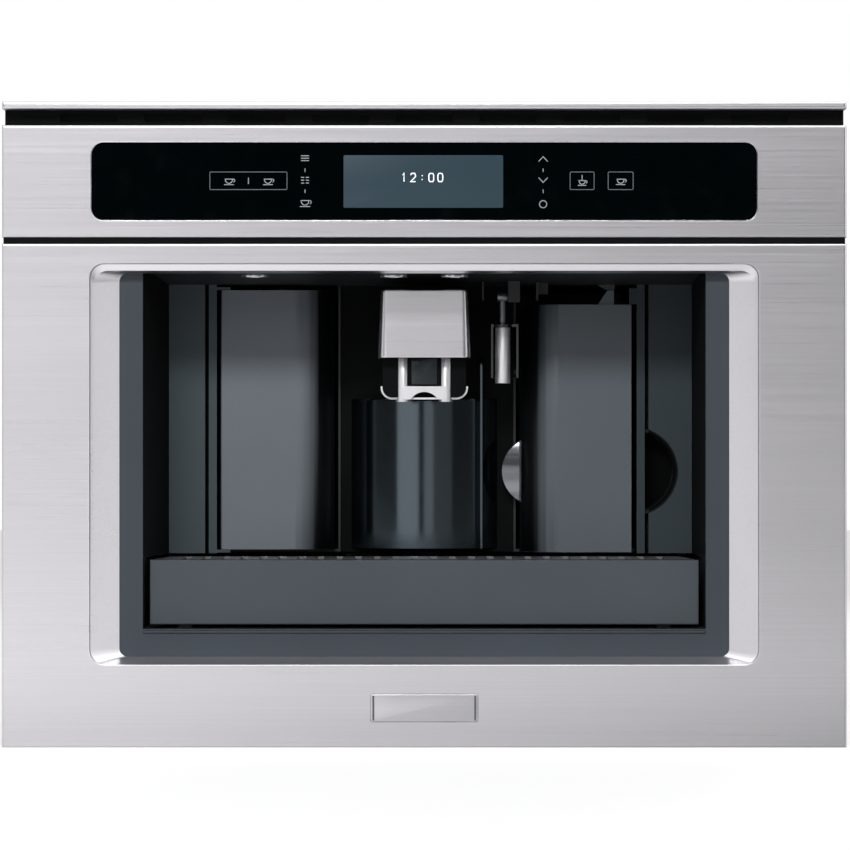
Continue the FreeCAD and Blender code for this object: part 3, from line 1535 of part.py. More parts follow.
def thermoblock():
    """Cast heater block with fins, two flanges and its hose stubs, on a bracket from the back."""
    x, d, z = boiler_place()
    w = boiler_w / 2
    h = boiler_h / 2
    block = box(x - w, x + w, d - boiler_t / 2, d + boiler_t / 2, z - h, z + h)
    cuts = []
    pitch = boiler_h / (boiler_fins + 1)
    for n in range(boiler_fins):
        zc = z - h + pitch * (n + 1)
        cuts.append(box(x - w - 1, x + w + 1, d - boiler_t / 2 - 1, d - boiler_t / 2 + 8, zc - 3, zc + 3))
    stub = rod_y(x - stub_in, z + h - stub_drop, hose_r + 1, d - boiler_t / 2 - stub_drop, d)
    bracket = box(x - stub_in, x + stub_in, d + boiler_t / 2, rear_depth - case_sheet, z - 8, z + 8)
    return fuse(cut(block, *cuts), stub, bracket)


def water_pump():
    """Vibration pump: coil frame on its armature tube, with end fittings and two rubber feet."""
    half = coil_w / 2
    x0, x1 = pump_x - half, pump_x + half
    tube = rod_x(pump_d, pump_z, pump_tube_r, pump_x - pump_reach, pump_x + pump_reach)
    coil = box(x0, x1, pump_d - half, pump_d + half, pump_z - coil_h / 2, pump_z + coil_h / 2)
    ends = [rod_x(pump_d, pump_z, pump_r, a, a + pump_end) for a in (x0 - pump_end, x1)]
    feet = []
    for x in (x0 - pump_end / 2, x1 + pump_end / 2):
        feet.append(box(x - 5, x + 5, pump_d - 7, pump_d + 7, case_z0 + case_sheet, pump_z - pump_r + 4))
    return fuse(tube, coil, *ends, *feet)


def power_board():
    """Mains board on stand-offs from the left side panel, with its transformer, relays and capacitors."""
    x0 = case_sheet - case_half
    d0, d1, z0, z1 = board_d0, board_d1, board_z0, board_z1
    back = x0 + board_off
    face = back + board_t
    board = box(back, face, d0, d1, z0, z1)
    posts = []
    for d in (d0 + 8, d1 - 8):
        for z in (z0 + 8, z1 - 8):
            posts.append(box(x0, back, d - 4, d + 4, z - 4, z + 4))
    edge = board_edge
    w = transformer_w
    parts = [
        box(face, face + 0.8 * w, d0 + edge, d0 + edge + w, z0 + edge, z0 + edge + w),
        box(face, face + relay_w / 2, d0 + edge, d1 - edge, z1 - edge - relay_w / 2, z1 - edge),
    ]
    for z in (z0 + edge, z0 + edge + 1.3 * relay_w):
        parts.append(box(face, face + relay_w * 0.8, d1 - edge - relay_w, d1 - edge, z, z + relay_w * 0.7))
    for d in (d0 + 2 * edge, d0 + 2 * edge + 3 * capacitor_r):
        parts.append(rod_x(d, (z0 + z1) / 2 + edge, capacitor_r, face, face + 2.5 * capacitor_r))
    return fuse(board, *posts, *parts)


def hose(points):
    """Round hose through the given corners, each turned on one bend radius where its runs allow."""
    path = []
    here = points[0]
    for before, corner, after in zip(points, points[1:], points[2:]):
        a = (before - corner).normalize()
        b = (after - corner).normalize()
        half_turn = (math.pi - a.getAngle(b)) / 2
        runs = 0.45 * min((before - corner).Length, (after - corner).Length)
        trim = min(runs, hose_bend_r * math.tan(half_turn))
        start = corner + a * trim
        end = corner + b * trim
        radius = trim / math.tan(half_turn)
        inward = (a + b).normalize()
        middle = corner + inward * (radius / math.cos(half_turn) - radius)
        path.append(Part.LineSegment(here, start).toShape())
        path.append(Part.Arc(start, middle, end).toShape())
        here = end
    path.append(Part.LineSegment(here, points[-1]).toShape())
    wire = Part.Wire(path)
    way = (points[1] - points[0]).normalize()
    ring = Part.Wire([Part.makeCircle(hose_r, points[0], way)])
    return wire.makePipe(Part.Face(ring))


def water_hoses():
    """Pump to heater, and heater to brewing head."""
    x, d, z = boiler_place()
    stub = Vector(x - stub_in, y_at(d - boiler_t / 2 - stub_drop), z + boiler_h / 2 - stub_drop)
    ahead = stub.y - hose_clear
    to_head = [
        stub,
        Vector(stub.x, ahead, stub.z),
        Vector(stub.x, ahead, shelf_z - 40),
        Vector(stub.x, y_at(brew_d) + 18, shelf_z - 14),
    ]
    port_x = pump_x - pump_reach
    under = x + 14
    low = z - boiler_h / 2
    from_pump = [
        Vector(port_x, y_at(pump_d), pump_z),
        Vector(port_x - hose_clear, y_at(pump_d), pump_z),
        Vector(under, y_at(pump_d) + 6, pump_z + 34),
        Vector(under, y_at(d), low - hose_clear),
        Vector(under, y_at(d), low),
    ]
    return Part.makeCompound([hose(to_head), hose(from_pump)])


def power_inlet():
    """Appliance inlet with three pins, and the frame of the main switch beside it."""
    face = rear_depth - case_sheet
    x0, x1 = inlet_x - inlet_w / 2, inlet_x + inlet_w / 2
    z0, z1 = inlet_z - inlet_h / 2, inlet_z + inlet_h / 2
    shell = box(x0, x1, face - 22, face + case_sheet, z0, z1)
    well = box(inlet_x - 13, inlet_x + 13, face - 17, face + 9, inlet_z - 8.5, inlet_z + 8.5)
    pins = []
    for x, z in ((inlet_x - 7, inlet_z - 2), (inlet_x + 7, inlet_z - 2), (inlet_x, inlet_z + 2.5)):
        pins.append(box(x - 1, x + 1, face - 18, face - 4, z - 2, z + 2))
    flange = box(x0 - 2, x1 + 2, face - 3, face, z0 - 2, z1 + 2)

    def switch_box(inset, d0, d1):
        w = switch_w / 2 - inset
        h = switch_h / 2 - inset
        return box(switch_x - w, switch_x + w, d0, d1, inlet_z - h, inlet_z + h)

    frame = cut(switch_box(0, face - 16, face + case_sheet), switch_box(switch_wall, face - 13, face + 9))
    bridge = box(x1, switch_x - switch_w / 2, face - 3, face, inlet_z - 4, inlet_z + 4)
    return fuse(cut(fuse(shell, flange), well), frame, bridge, *pins)


def switch_rocker():
    """Two-position rocker with a shallow V face, tilted to its off position on its axle."""
    half_w = switch_w / 2 - switch_wall - slide_gap
    half_h = switch_h / 2 - switch_wall - 3 * slide_gap
    axle_d = rear_depth - case_sheet - switch_axle_in
    crest = axle_d + rocker_rise
    points = [
        (axle_d, inlet_z - half_h + 0.6),
        (crest, inlet_z - half_h),
        (crest - rocker_dip, inlet_z),
        (crest, inlet_z + half_h),
        (axle_d, inlet_z + half_h - 0.6),
    ]
    rocker = side_prism(points, switch_x - half_w, switch_x + half_w)
    axle = rod_x(axle_d, inlet_z, switch_axle_r, switch_x - half_w, switch_x + half_w)
    rocker = fuse(rocker, axle)
    rocker.rotate(Vector(0, y_at(axle_d), inlet_z), Vector(1, 0, 0), -rocker_swing / 2)
    return rocker


def rear_buffers():
    pads = []
    for x in (buffer_in - case_half, case_half - buffer_in):
        for z in (case_z0 + 90, case_z1 - 24):
            pads.append(rod_y(x, z, buffer_r, rear_depth, rear_depth + buffer_proud))
    return Part.makeCompound(pads)


NODES = {
    "front_frame": front_frame,
    "control_fascia": control_fascia,
    "touch_glass": touch_glass,
    "display_board": display_board,
    "top_trim": top_trim,
    "fascia_carrier": fascia_carrier,
    "cabinet_seals": cabinet_seals,
    "badge_plate": badge_plate,
    "niche_frame": niche_frame,
    "niche_wall_left": niche_wall_left,
    "niche_wall_right": niche_wall_right,
    "niche_ceiling": niche_ceiling,
    "lamps": lamps,
    "niche_back": niche_back,
    "centre_column": centre_column,
    "service_door": service_door,
    "tank_front": tank_front,
    "tank_body": tank_body,
    "tank_lid": tank_lid,
    "tray_front": tray_front,
    "tray_basin": tray_basin,
    "cup_grid": cup_grid,
    "tray_float": tray_float,
    "grounds_box": grounds_box,
    "dispenser_cover": dispenser_cover,
    "dispenser_body": dispenser_body,
    "coffee_spouts": coffee_spouts,
    "wand_tube": wand_tube,
    "wand_sleeve": wand_sleeve,
    "wand_guard": wand_guard,
    "infuser_bay": infuser_bay,
    "tank_bay": tank_bay,
    "tray_deck": tray_deck,
    "base_pan": base_pan,
    "side_panels": side_panels,
    "rear_panel": rear_panel,
    "top_cover": top_cover,
    "chassis_shelf": chassis_shelf,
    "cabinet_rails": cabinet_rails,
    "middle_rails": middle_rails,
    "machine_rails": machine_rails,
    "brew_frame": brew_frame,
    "brew_chamber": brew_chamber,
    "upper_piston": upper_piston,
    "drive_spindle": drive_spindle,
    "grinder_body": grinder_body,
    "burr_cone": burr_cone,
    "grinder_motor": grinder_motor,
    "bean_hopper": bean_hopper,
    "bean_lid": bean_lid,
    "powder_filler": powder_filler,
    "powder_lid": powder_lid,
    "grind_knob": grind_knob,
    "thermoblock": thermoblock,
    "water_pump": water_pump,
    "power_board": power_board,
    "water_hoses": water_hoses,
    "power_inlet": power_inlet,
    "switch_rocker": switch_rocker,
    "rear_buffers": rear_buffers,
}

os.makedirs("parts", exist_ok=True)
for name, make in NODES.items():
    shape = make()
    shape.exportStep(os.path.join("parts", name + ".step"))
    print(name, len(shape.Solids), "solids", round(shape.Volume / 1000, 1), "cm3", shape.isValid())
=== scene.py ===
"""Looks for a built-in coffee machine with a steel front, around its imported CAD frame."""

import json
import math

import bmesh
import bpy
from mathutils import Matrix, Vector


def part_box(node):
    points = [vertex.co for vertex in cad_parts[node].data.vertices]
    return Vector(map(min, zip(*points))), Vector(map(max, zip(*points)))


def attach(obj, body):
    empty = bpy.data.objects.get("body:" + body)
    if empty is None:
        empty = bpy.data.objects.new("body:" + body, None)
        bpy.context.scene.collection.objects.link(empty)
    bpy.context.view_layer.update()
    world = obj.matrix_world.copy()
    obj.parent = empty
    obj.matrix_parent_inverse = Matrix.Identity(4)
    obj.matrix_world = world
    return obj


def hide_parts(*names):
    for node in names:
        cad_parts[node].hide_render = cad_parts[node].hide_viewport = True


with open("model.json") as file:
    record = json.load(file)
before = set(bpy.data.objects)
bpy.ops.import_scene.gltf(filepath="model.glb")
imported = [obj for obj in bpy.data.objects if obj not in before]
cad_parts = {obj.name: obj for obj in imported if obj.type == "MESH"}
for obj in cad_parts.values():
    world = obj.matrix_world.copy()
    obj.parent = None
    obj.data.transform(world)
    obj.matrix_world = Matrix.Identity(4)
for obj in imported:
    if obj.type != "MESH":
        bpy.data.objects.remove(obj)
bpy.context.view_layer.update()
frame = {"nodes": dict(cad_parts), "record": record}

MM = 0.001
PANEL_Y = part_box("front_frame")[0].y  # face of the steel front
NODES = frame["nodes"]


def at(x, depth, z):
    """Point from millimetres: across, behind the steel face, up."""
    return Vector((x * MM, PANEL_Y + depth * MM, z * MM))


def extent(node):
    """A node's box in millimetres: x0, x1, depth0, depth1, z0, z1."""
    low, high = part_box(node)
    return (
        low.x / MM,
        high.x / MM,
        (low.y - PANEL_Y) / MM,
        (high.y - PANEL_Y) / MM,
        low.z / MM,
        high.z / MM,
    )


# ---- Colours, written as the eye sees them ----


def tone(red, green, blue):
    """Display colour from 0 to 255 as the linear colour that renders to it."""
    linear = []
    for value in (red, green, blue):
        share = value / 255
        linear.append(share / 12.92 if share <= 0.04045 else ((share + 0.055) / 1.055) ** 2.4)
    return (*linear, 1.0)


# ---- Mesh tools ----

PLATE_STEPS = 3  # facets of a plate's rounded front edge


def piece(name, mesh_maker, body, material, smooth_angle=35.0):
    """New object from a bmesh, on its body and finish."""
    mesh = bpy.data.meshes.new(name)
    made = mesh_maker()
    bmesh.ops.recalc_face_normals(made, faces=made.faces)
    made.to_mesh(mesh)
    made.free()
    for face in mesh.polygons:
        face.use_smooth = True
    mesh.set_sharp_from_angle(angle=math.radians(smooth_angle))
    found = bpy.data.objects.new(name, mesh)
    bpy.context.scene.collection.objects.link(found)
    mesh.materials.append(material)
    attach(found, body)
    return found


def rounded_outline(x0, x1, z0, z1, radius, steps=6):
    """Points of an upright rectangle with round corners, anticlockwise from the front."""
    points = []
    corners = (
        (x1 - radius, z0 + radius, -90),
        (x1 - radius, z1 - radius, 0),
        (x0 + radius, z1 - radius, 90),
        (x0 + radius, z0 + radius, 180),
    )
    for cx, cz, start in corners:
        for n in range(steps + 1):
            turn = math.radians(start + 90 * n / steps)
            points.append((cx + radius * math.cos(turn), cz + radius * math.sin(turn)))
    return points


def add_rings(bm, rings, closed=True, joined=False, cap_first=False, cap_last=False):
    """Skin over rings of points that all have the same count; joined, the last ring meets the first."""
    rows = [[bm.verts.new(point) for point in ring] for ring in rings]
    if joined:
        rows.append(rows[0])
    count = len(rows[0])
    for low, high in zip(rows, rows[1:]):
        for n in range(count if closed else count - 1):
            m = (n + 1) % count
            bm.faces.new((low[n], low[m], high[m], high[n]))
    if cap_first:
        bm.faces.new(rows[0][::-1])
    if cap_last:
        bm.faces.new(rows[-1])


def plate_rings(x0, x1, z0, z1, radius, face, back, edge):
    """Rings of a plate whose front edge is rounded: from its back forward, then in over the face."""
    rings = []
    rings.append([at(x, back, z) for x, z in rounded_outline(x0, x1, z0, z1, radius)])
    for n in range(PLATE_STEPS + 1):
        turn = math.radians(90 * n / PLATE_STEPS)
        inset = edge * (1 - math.cos(turn))
        depth = face + edge * (1 - math.sin(turn))
        outline = rounded_outline(x0 + inset, x1 - inset, z0 + inset, z1 - inset, max(radius - inset, 0.05))
        rings.append([at(x, depth, z) for x, z in outline])
    return rings


def plate(x0, x1, z0, z1, radius, face, back, edge):
    """Mesh maker for a closed plate with a rounded front edge."""

    def make():
        bm = bmesh.new()
        rings = plate_rings(x0, x1, z0, z1, radius, face, back, edge)
        add_rings(bm, rings, cap_first=True, cap_last=True)
        return bm

    return make


def add_stroke(bm, path, width, face, back, closed=False):
    """Flat raised line along (x, z) points."""
    count = len(path)
    left, right = [], []
    for n, here in enumerate(path):
        before = path[n - 1] if n or closed else here
        after = path[(n + 1) % count] if n < count - 1 or closed else here
        a = Vector((here[0] - before[0], here[1] - before[1]))
        b = Vector((after[0] - here[0], after[1] - here[1]))
        a = a.normalized() if a.length else b.normalized()
        b = b.normalized() if b.length else a
        middle = (a + b).normalized()
        reach = width / 2 / max(0.5, middle.dot(b))
        side = Vector((-middle.y, middle.x)) * reach
        left.append((here[0] + side.x, here[1] + side.y))
        right.append((here[0] - side.x, here[1] - side.y))
    rings = [
        [at(x, face, z) for x, z in left],
        [at(x, face, z) for x, z in right],
        [at(x, back, z) for x, z in right],
        [at(x, back, z) for x, z in left],
    ]
    rows = [[bm.verts.new(point) for point in ring] for ring in rings]
    for n in range(count if closed else count - 1):
        m = (n + 1) % count
        for k in range(4):
            j = (k + 1) % 4
            bm.faces.new((rows[k][n], rows[k][m], rows[j][m], rows[j][n]))
    if not closed:
        for n in (0, count - 1):
            bm.faces.new([rows[k][n] for k in range(4)])


def strokes(lines, width, face, back):
    """Mesh maker for a set of lines, each (points, closed)."""

    def make():
        bm = bmesh.new()
        for path, closed in lines:
            add_stroke(bm, path, width, face, back, closed)
        return bm

    return make


def arc(cx, cz, radius, start, end, steps=10, flatten=1.0):
    """Points of an arc, in degrees, flattened upward if asked."""
    points = []
    for n in range(steps + 1):
        turn = math.radians(start + (end - start) * n / steps)
        points.append((cx + radius * math.cos(turn), cz + radius * flatten * math.sin(turn)))
    return points


# ---- Shader tools ----

EVEN = (1.0, 1.0, 1.0)  # the same scale along every axis
SURFACE_OUTPUTS = (("Height", "value"), ("Roughness", "value"), ("Shade", "value"))
MASK_OUTPUT = (("Mask", "value"),)
BRUSH_DEPTH = 0.0002
GRAIN_DEPTH = 0.0001
SKIN_DEPTH = 0.0004  # cast skins and flow marks


def link(tree, output, target):
    tree.links.new(output, target)


def node(tree, kind, **settings):
    """Shader node with its settings; a name ending in _in sets an input's value."""
    made = tree.nodes.new(kind)
    for key, value in settings.items():
        if key.endswith("_in"):
            made.inputs[key[:-3].replace("_", " ")].default_value = value
        else:
            setattr(made, key, value)
    return made


def new_group(name, inputs, outputs):
    """Empty node group with named float, vector or colour sockets."""
    kinds = {"value": "NodeSocketFloat", "vector": "NodeSocketVector", "colour": "NodeSocketColor"}
    tree = bpy.data.node_groups.new(name, "ShaderNodeTree")
    for label, kind, default in inputs:
        socket = tree.interface.new_socket(name=label, in_out="INPUT", socket_type=kinds[kind])
        socket.default_value = default
    for label, kind in outputs:
        tree.interface.new_socket(name=label, in_out="OUTPUT", socket_type=kinds[kind])
    return tree, tree.nodes.new("NodeGroupInput"), tree.nodes.new("NodeGroupOutput")


def maths(tree, kind, first, second=None, clamp=False):
    """Math node fed by sockets or numbers."""
    made = node(tree, "ShaderNodeMath", operation=kind, use_clamp=clamp)
    for n, value in enumerate((first, second)):
        if value is None:
            continue
        if isinstance(value, bpy.types.NodeSocket):
            link(tree, value, made.inputs[n])
        else:
            made.inputs[n].default_value = value
    return made.outputs[0]


def spread(tree, value, low, high, to_low, to_high):
    """Value from one range to another; the limits may be sockets or numbers."""
    made = node(tree, "ShaderNodeMapRange", clamp=True)
    link(tree, value, made.inputs["Value"])
    for label, limit in (("From Min", low), ("From Max", high), ("To Min", to_low), ("To Max", to_high)):
        if isinstance(limit, bpy.types.NodeSocket):
            link(tree, limit, made.inputs[label])
        else:
            made.inputs[label].default_value = limit
    return made.outputs["Result"]


def stretched(tree, scale):
    """Object position in metres, scaled differently along each axis."""
    place = node(tree, "ShaderNodeTexCoord")
    mapping = node(tree, "ShaderNodeMapping")
    if isinstance(scale, bpy.types.NodeSocket):
        link(tree, scale, mapping.inputs["Scale"])
    else:
        mapping.inputs["Scale"].default_value = scale
    link(tree, place.outputs["Object"], mapping.inputs["Vector"])
    return mapping.outputs["Vector"]


def position(tree):
    """X, Y and Z of the object position, in metres."""
    parts = node(tree, "ShaderNodeSeparateXYZ")
    link(tree, stretched(tree, EVEN), parts.inputs[0])
    return parts.outputs


def outlook(tree):
    """X, Y and Z of the way the surface faces."""
    plain = node(tree, "ShaderNodeNewGeometry")
    parts = node(tree, "ShaderNodeSeparateXYZ")
    link(tree, plain.outputs["Normal"], parts.inputs[0])
    return parts.outputs


def noise(tree, vector, scale=1.0, detail=2.0, roughness=0.5):
    made = node(tree, "ShaderNodeTexNoise", Detail_in=detail, Roughness_in=roughness)
    link(tree, vector, made.inputs["Vector"])
    if isinstance(scale, bpy.types.NodeSocket):
        link(tree, scale, made.inputs["Scale"])
    else:
        made.inputs["Scale"].default_value = scale
    return made.outputs["Fac"]


def brushed_lines():
    """Long fine lines left by a brushing belt, with broad soft banding."""
    inputs = (
        ("Lines", "vector", (8.0, 900.0, 900.0)),
        ("Gloss low", "value", 0.25),
        ("Gloss high", "value", 0.4),
    )
    tree, given, put = new_group("brushed_lines", inputs, SURFACE_OUTPUTS)
    fine = noise(tree, stretched(tree, given.outputs["Lines"]), 1.0, 4.0, 0.7)
    broad = noise(tree, stretched(tree, (1.5, 14.0, 14.0)), 1.0, 2.0, 0.5)
    mixed = maths(tree, "ADD", maths(tree, "MULTIPLY", fine, 0.75), maths(tree, "MULTIPLY", broad, 0.25))
    link(tree, fine, put.inputs["Height"])
    rough = spread(tree, mixed, 0.35, 0.65, given.outputs["Gloss low"], given.outputs["Gloss high"])
    link(tree, rough, put.inputs["Roughness"])
    link(tree, spread(tree, mixed, 0.3, 0.7, 0.94, 1.04), put.inputs["Shade"])
    return tree


def moulded_grain():
    """Spark-eroded tool grain on moulded plastic, with slow changes of gloss from handling."""
    inputs = (("Grain", "value", 1400.0), ("Gloss low", "value", 0.35), ("Gloss high", "value", 0.5))
    tree, given, put = new_group("moulded_grain", inputs, SURFACE_OUTPUTS)
    place = stretched(tree, EVEN)
    grain = noise(tree, place, given.outputs["Grain"], 3.0, 0.6)
    slow = noise(tree, place, 11.0, 3.0, 0.5)
    link(tree, grain, put.inputs["Height"])
    rough = spread(tree, slow, 0.3, 0.7, given.outputs["Gloss low"], given.outputs["Gloss high"])
    link(tree, rough, put.inputs["Roughness"])
    both = maths(tree, "ADD", maths(tree, "MULTIPLY", grain, 0.5), maths(tree, "MULTIPLY", slow, 0.5))
    link(tree, spread(tree, both, 0.35, 0.65, 0.93, 1.06), put.inputs["Shade"])
    return tree


def edge_wear_and_shade():
    """Mask of outer edges: rubbed bright by hands and cloths, and on the top trim the place of a painted
    shade line.
    """
    inputs = (("Width", "value", 0.0006), ("Patchiness", "value", 60.0))
    tree, given, put = new_group("edge_wear_and_shade", inputs, MASK_OUTPUT)
    soft = node(tree, "ShaderNodeBevel", samples=4)
    link(tree, given.outputs["Width"], soft.inputs["Radius"])
    plain = node(tree, "ShaderNodeNewGeometry")
    dot = node(tree, "ShaderNodeVectorMath", operation="DOT_PRODUCT")
    link(tree, soft.outputs["Normal"], dot.inputs[0])
    link(tree, plain.outputs["Normal"], dot.inputs[1])
    bend = spread(tree, dot.outputs["Value"], 0.80, 0.995, 1.0, 0.0)
    patches = noise(tree, stretched(tree, EVEN), given.outputs["Patchiness"], 3.0)
    patch = spread(tree, patches, 0.4, 0.6, 0.2, 1.0)
    link(tree, maths(tree, "MULTIPLY", bend, patch, clamp=True), put.inputs["Mask"])
    return tree


def settled_dust():
    """Mask of a thin dust film on surfaces that face up."""
    inputs = (("Amount", "value", 0.3), ("Patchiness", "value", 30.0))
    tree, given, put = new_group("settled_dust", inputs, MASK_OUTPUT)
    up = spread(tree, outlook(tree)["Z"], 0.55, 0.95, 0.0, 1.0)
    patches = noise(tree, stretched(tree, EVEN), given.outputs["Patchiness"], 4.0)
    patch = spread(tree, patches, 0.35, 0.7, 0.2, 1.0)
    mask = maths(tree, "MULTIPLY", maths(tree, "MULTIPLY", up, patch), given.outputs["Amount"], clamp=True)
    link(tree, mask, put.inputs["Mask"])
    return tree


def square_faces():
    """Mask of faces that look straight out at the front, fading as they turn aside."""
    inputs = (("Turned", "value", -0.7), ("Square", "value", -0.93))
    tree, given, put = new_group("square_faces", inputs, MASK_OUTPUT)
    away = outlook(tree)["Y"]
    mask = spread(tree, away, given.outputs["Square"], given.outputs["Turned"], 1.0, 0.0)
    link(tree, mask, put.inputs["Mask"])
    return tree


GROUP_MAKERS = (brushed_lines, moulded_grain, edge_wear_and_shade, settled_dust, square_faces)
GROUPS = {maker.__name__: maker() for maker in GROUP_MAKERS}


def placed(tree, name, **values):
    """A node group placed in a material with its own values."""
    made = tree.nodes.new("ShaderNodeGroup")
    made.node_tree = GROUPS[name]
    for key, value in values.items():
        made.inputs[key.replace("_", " ")].default_value = value
    return made


def shaded(tree, colour, shade):
    """A colour multiplied by a grey value that changes over the surface."""
    made = node(tree, "ShaderNodeMix", data_type="RGBA", blend_type="MULTIPLY", clamp_factor=True)
    made.inputs["Factor"].default_value = 1.0
    if isinstance(colour, bpy.types.NodeSocket):
        link(tree, colour, made.inputs["A"])
    else:
        made.inputs["A"].default_value = colour
    link(tree, shade, made.inputs["B"])
    return made.outputs["Result"]


def blended(tree, factor, first, second):
    """Two colours or sockets mixed by a mask."""
    made = node(tree, "ShaderNodeMix", data_type="RGBA", clamp_factor=True)
    link(tree, factor, made.inputs["Factor"])
    for label, colour in (("A", first), ("B", second)):
        if isinstance(colour, bpy.types.NodeSocket):
            link(tree, colour, made.inputs[label])
        else:
            made.inputs[label].default_value = colour
    return made.outputs["Result"]


def indirect(tree, light):
    """1 for what surfaces mirror or let through, 0 for all else."""
    mirrored, let_through = light.outputs["Is Glossy Ray"], light.outputs["Is Transmission Ray"]
    return maths(tree, "ADD", mirrored, let_through, clamp=True)


def bumped(tree, shader, height, strength, distance):
    bump = node(tree, "ShaderNodeBump", Strength_in=strength, Distance_in=distance)
    link(tree, height, bump.inputs["Height"])
    link(tree, bump.outputs["Normal"], shader.inputs["Normal"])


def grained(tree, shader, mould, strength, depth=GRAIN_DEPTH):
    """Gloss and grain of a moulded surface."""
    link(tree, mould.outputs["Roughness"], shader.inputs["Roughness"])
    bumped(tree, shader, mould.outputs["Height"], strength, depth)


def new_material(name, **sockets):
    made = bpy.data.materials.new(name)
    made.use_nodes = True
    tree = made.node_tree
    shader = tree.nodes["Principled BSDF"]
    for key, value in sockets.items():
        shader.inputs[key.replace("_", " ")].default_value = value
    return made, tree, shader


# ---- Finishes ----

POST_DEPTH = extent("niche_wall_left")[2] + 90.8  # the posts' front faces, behind the steel
LONG_BRUSH = (6.0, 700.0, 1400.0)  # lines along the front
TURNED_BRUSH = (300.0, 300.0, 20.0)  # lines round an upright tube


def steel_finish(name, colour, lines, gloss, bump=0.12, edge=tone(236, 236, 238)):
    """Brushed steel with its lines, a recoloured edge and faint banding: a brighter rubbed edge, but on the
    top trim a darker edge colour that paints a shade line.
    """
    made, tree, shader = new_material(name, Metallic=1.0)
    brush = placed(tree, "brushed_lines", Lines=lines, Gloss_low=gloss[0], Gloss_high=gloss[1])
    edge_mark = placed(tree, "edge_wear_and_shade", Width=0.0005, Patchiness=40.0)
    base = shaded(tree, colour, brush.outputs["Shade"])
    link(tree, blended(tree, edge_mark.outputs["Mask"], base, edge), shader.inputs["Base Color"])
    link(tree, brush.outputs["Roughness"], shader.inputs["Roughness"])
    bumped(tree, shader, brush.outputs["Height"], bump, BRUSH_DEPTH)
    return made


def plastic_finish(name, colour, grain, gloss, bump, edge, coat=0.0, dust=0.25):
    """Moulded plastic: tool grain, handled gloss, rubbed edges and a little dust on top."""
    made, tree, shader = new_material(name, Coat_Weight=coat, Coat_Roughness=0.04)
    mould = placed(tree, "moulded_grain", Grain=grain, Gloss_low=gloss[0], Gloss_high=gloss[1])
    edge_mark = placed(tree, "edge_wear_and_shade", Width=0.0005, Patchiness=80.0)
    film = placed(tree, "settled_dust", Amount=dust, Patchiness=35.0)
    base = shaded(tree, colour, mould.outputs["Shade"])
    rubbed = blended(tree, edge_mark.outputs["Mask"], base, edge)
    link(tree, blended(tree, film.outputs["Mask"], rubbed, tone(120, 118, 112)), shader.inputs["Base Color"])
    grained(tree, shader, mould, bump)
    return made


def front_of_posts(tree):
    """Mask of what faces the front squarely, at the depth of the posts and no further in; everything outside
    it gets painted shade.
    """
    squarely = placed(tree, "square_faces", Turned=-0.7, Square=-0.93)
    groove = at(0.0, POST_DEPTH, 0.0).y
    shallow = spread(tree, position(tree)["Y"], groove + 1.5 * MM, groove + 3.0 * MM, 1.0, 0.0)
    return maths(tree, "MULTIPLY", squarely.outputs["Mask"], shallow)


def wall_finish(name, colour):
    """Niche wall moulding: grained grey on its front faces, and painted shade, near black and matt, on
    slopes, returns and in grooves.
    """
    made, tree, shader = new_material(name, Specular_IOR_Level=0.12)
    mould = placed(tree, "moulded_grain", Grain=1500.0, Gloss_low=0.3, Gloss_high=0.4)
    edge_mark = placed(tree, "edge_wear_and_shade", Width=0.0005, Patchiness=80.0)
    front = front_of_posts(tree)
    # painted shade: near black wherever the mask is off, on slopes, returns and groove floors
    base = shaded(tree, blended(tree, front, tone(1, 2, 3), colour), mould.outputs["Shade"])
    link(tree, blended(tree, edge_mark.outputs["Mask"], base, tone(104, 110, 114)), shader.inputs["Base Color"])
    link(tree, spread(tree, front, 0.0, 1.0, 0.85, mould.outputs["Roughness"]), shader.inputs["Roughness"])
    bumped(tree, shader, mould.outputs["Height"], 0.2, GRAIN_DEPTH)
    return made


def cover_finish(name, colour):
    """Cover moulding: silver-grey face with painted shade that runs it out to black where it bends away."""
    made, tree, shader = new_material(name, Specular_IOR_Level=0.25)
    mould = placed(tree, "moulded_grain", Grain=1500.0, Gloss_low=0.3, Gloss_high=0.38)
    edge_mark = placed(tree, "edge_wear_and_shade", Width=0.0005, Patchiness=80.0)
    face = placed(tree, "square_faces", Turned=-0.8, Square=-0.985)
    # painted shade: the face turns near black as it bends away from the front
    painted_shade_face = blended(tree, face.outputs["Mask"], tone(6, 10, 11), colour)
    base = shaded(tree, painted_shade_face, mould.outputs["Shade"])
    link(tree, blended(tree, edge_mark.outputs["Mask"], base, tone(140, 147, 154)), shader.inputs["Base Color"])
    grained(tree, shader, mould, 0.15)
    return made


def matt_black_finish(name):
    """Matt black moulding with a coarse grain."""
    made, tree, shader = new_material(name, Specular_IOR_Level=0.1)
    mould = placed(tree, "moulded_grain", Grain=900.0, Gloss_low=0.6, Gloss_high=0.8)
    link(tree, shaded(tree, tone(6, 8, 9), mould.outputs["Shade"]), shader.inputs["Base Color"])
    grained(tree, shader, mould, 0.3)
    return made


def column_finish():
    """Piano-black column, dulled by steam and splashes towards its foot."""
    made, tree, shader = new_material("column_black", IOR=2.0, Specular_Tint=(0.7, 0.87, 1.0, 1.0))
    foot = extent("centre_column")[4]
    steam = spread(tree, position(tree)["Z"], (foot + 1.0) * MM, (foot + 14.0) * MM, 0.3, 0.12)
    patch = spread(tree, noise(tree, stretched(tree, EVEN), 60.0, 3.0), 0.3, 0.7, 0.92, 1.1)
    link(tree, maths(tree, "MULTIPLY", steam, patch), shader.inputs["Roughness"])
    link(tree, shaded(tree, tone(3, 6, 8), patch), shader.inputs["Base Color"])
    return made


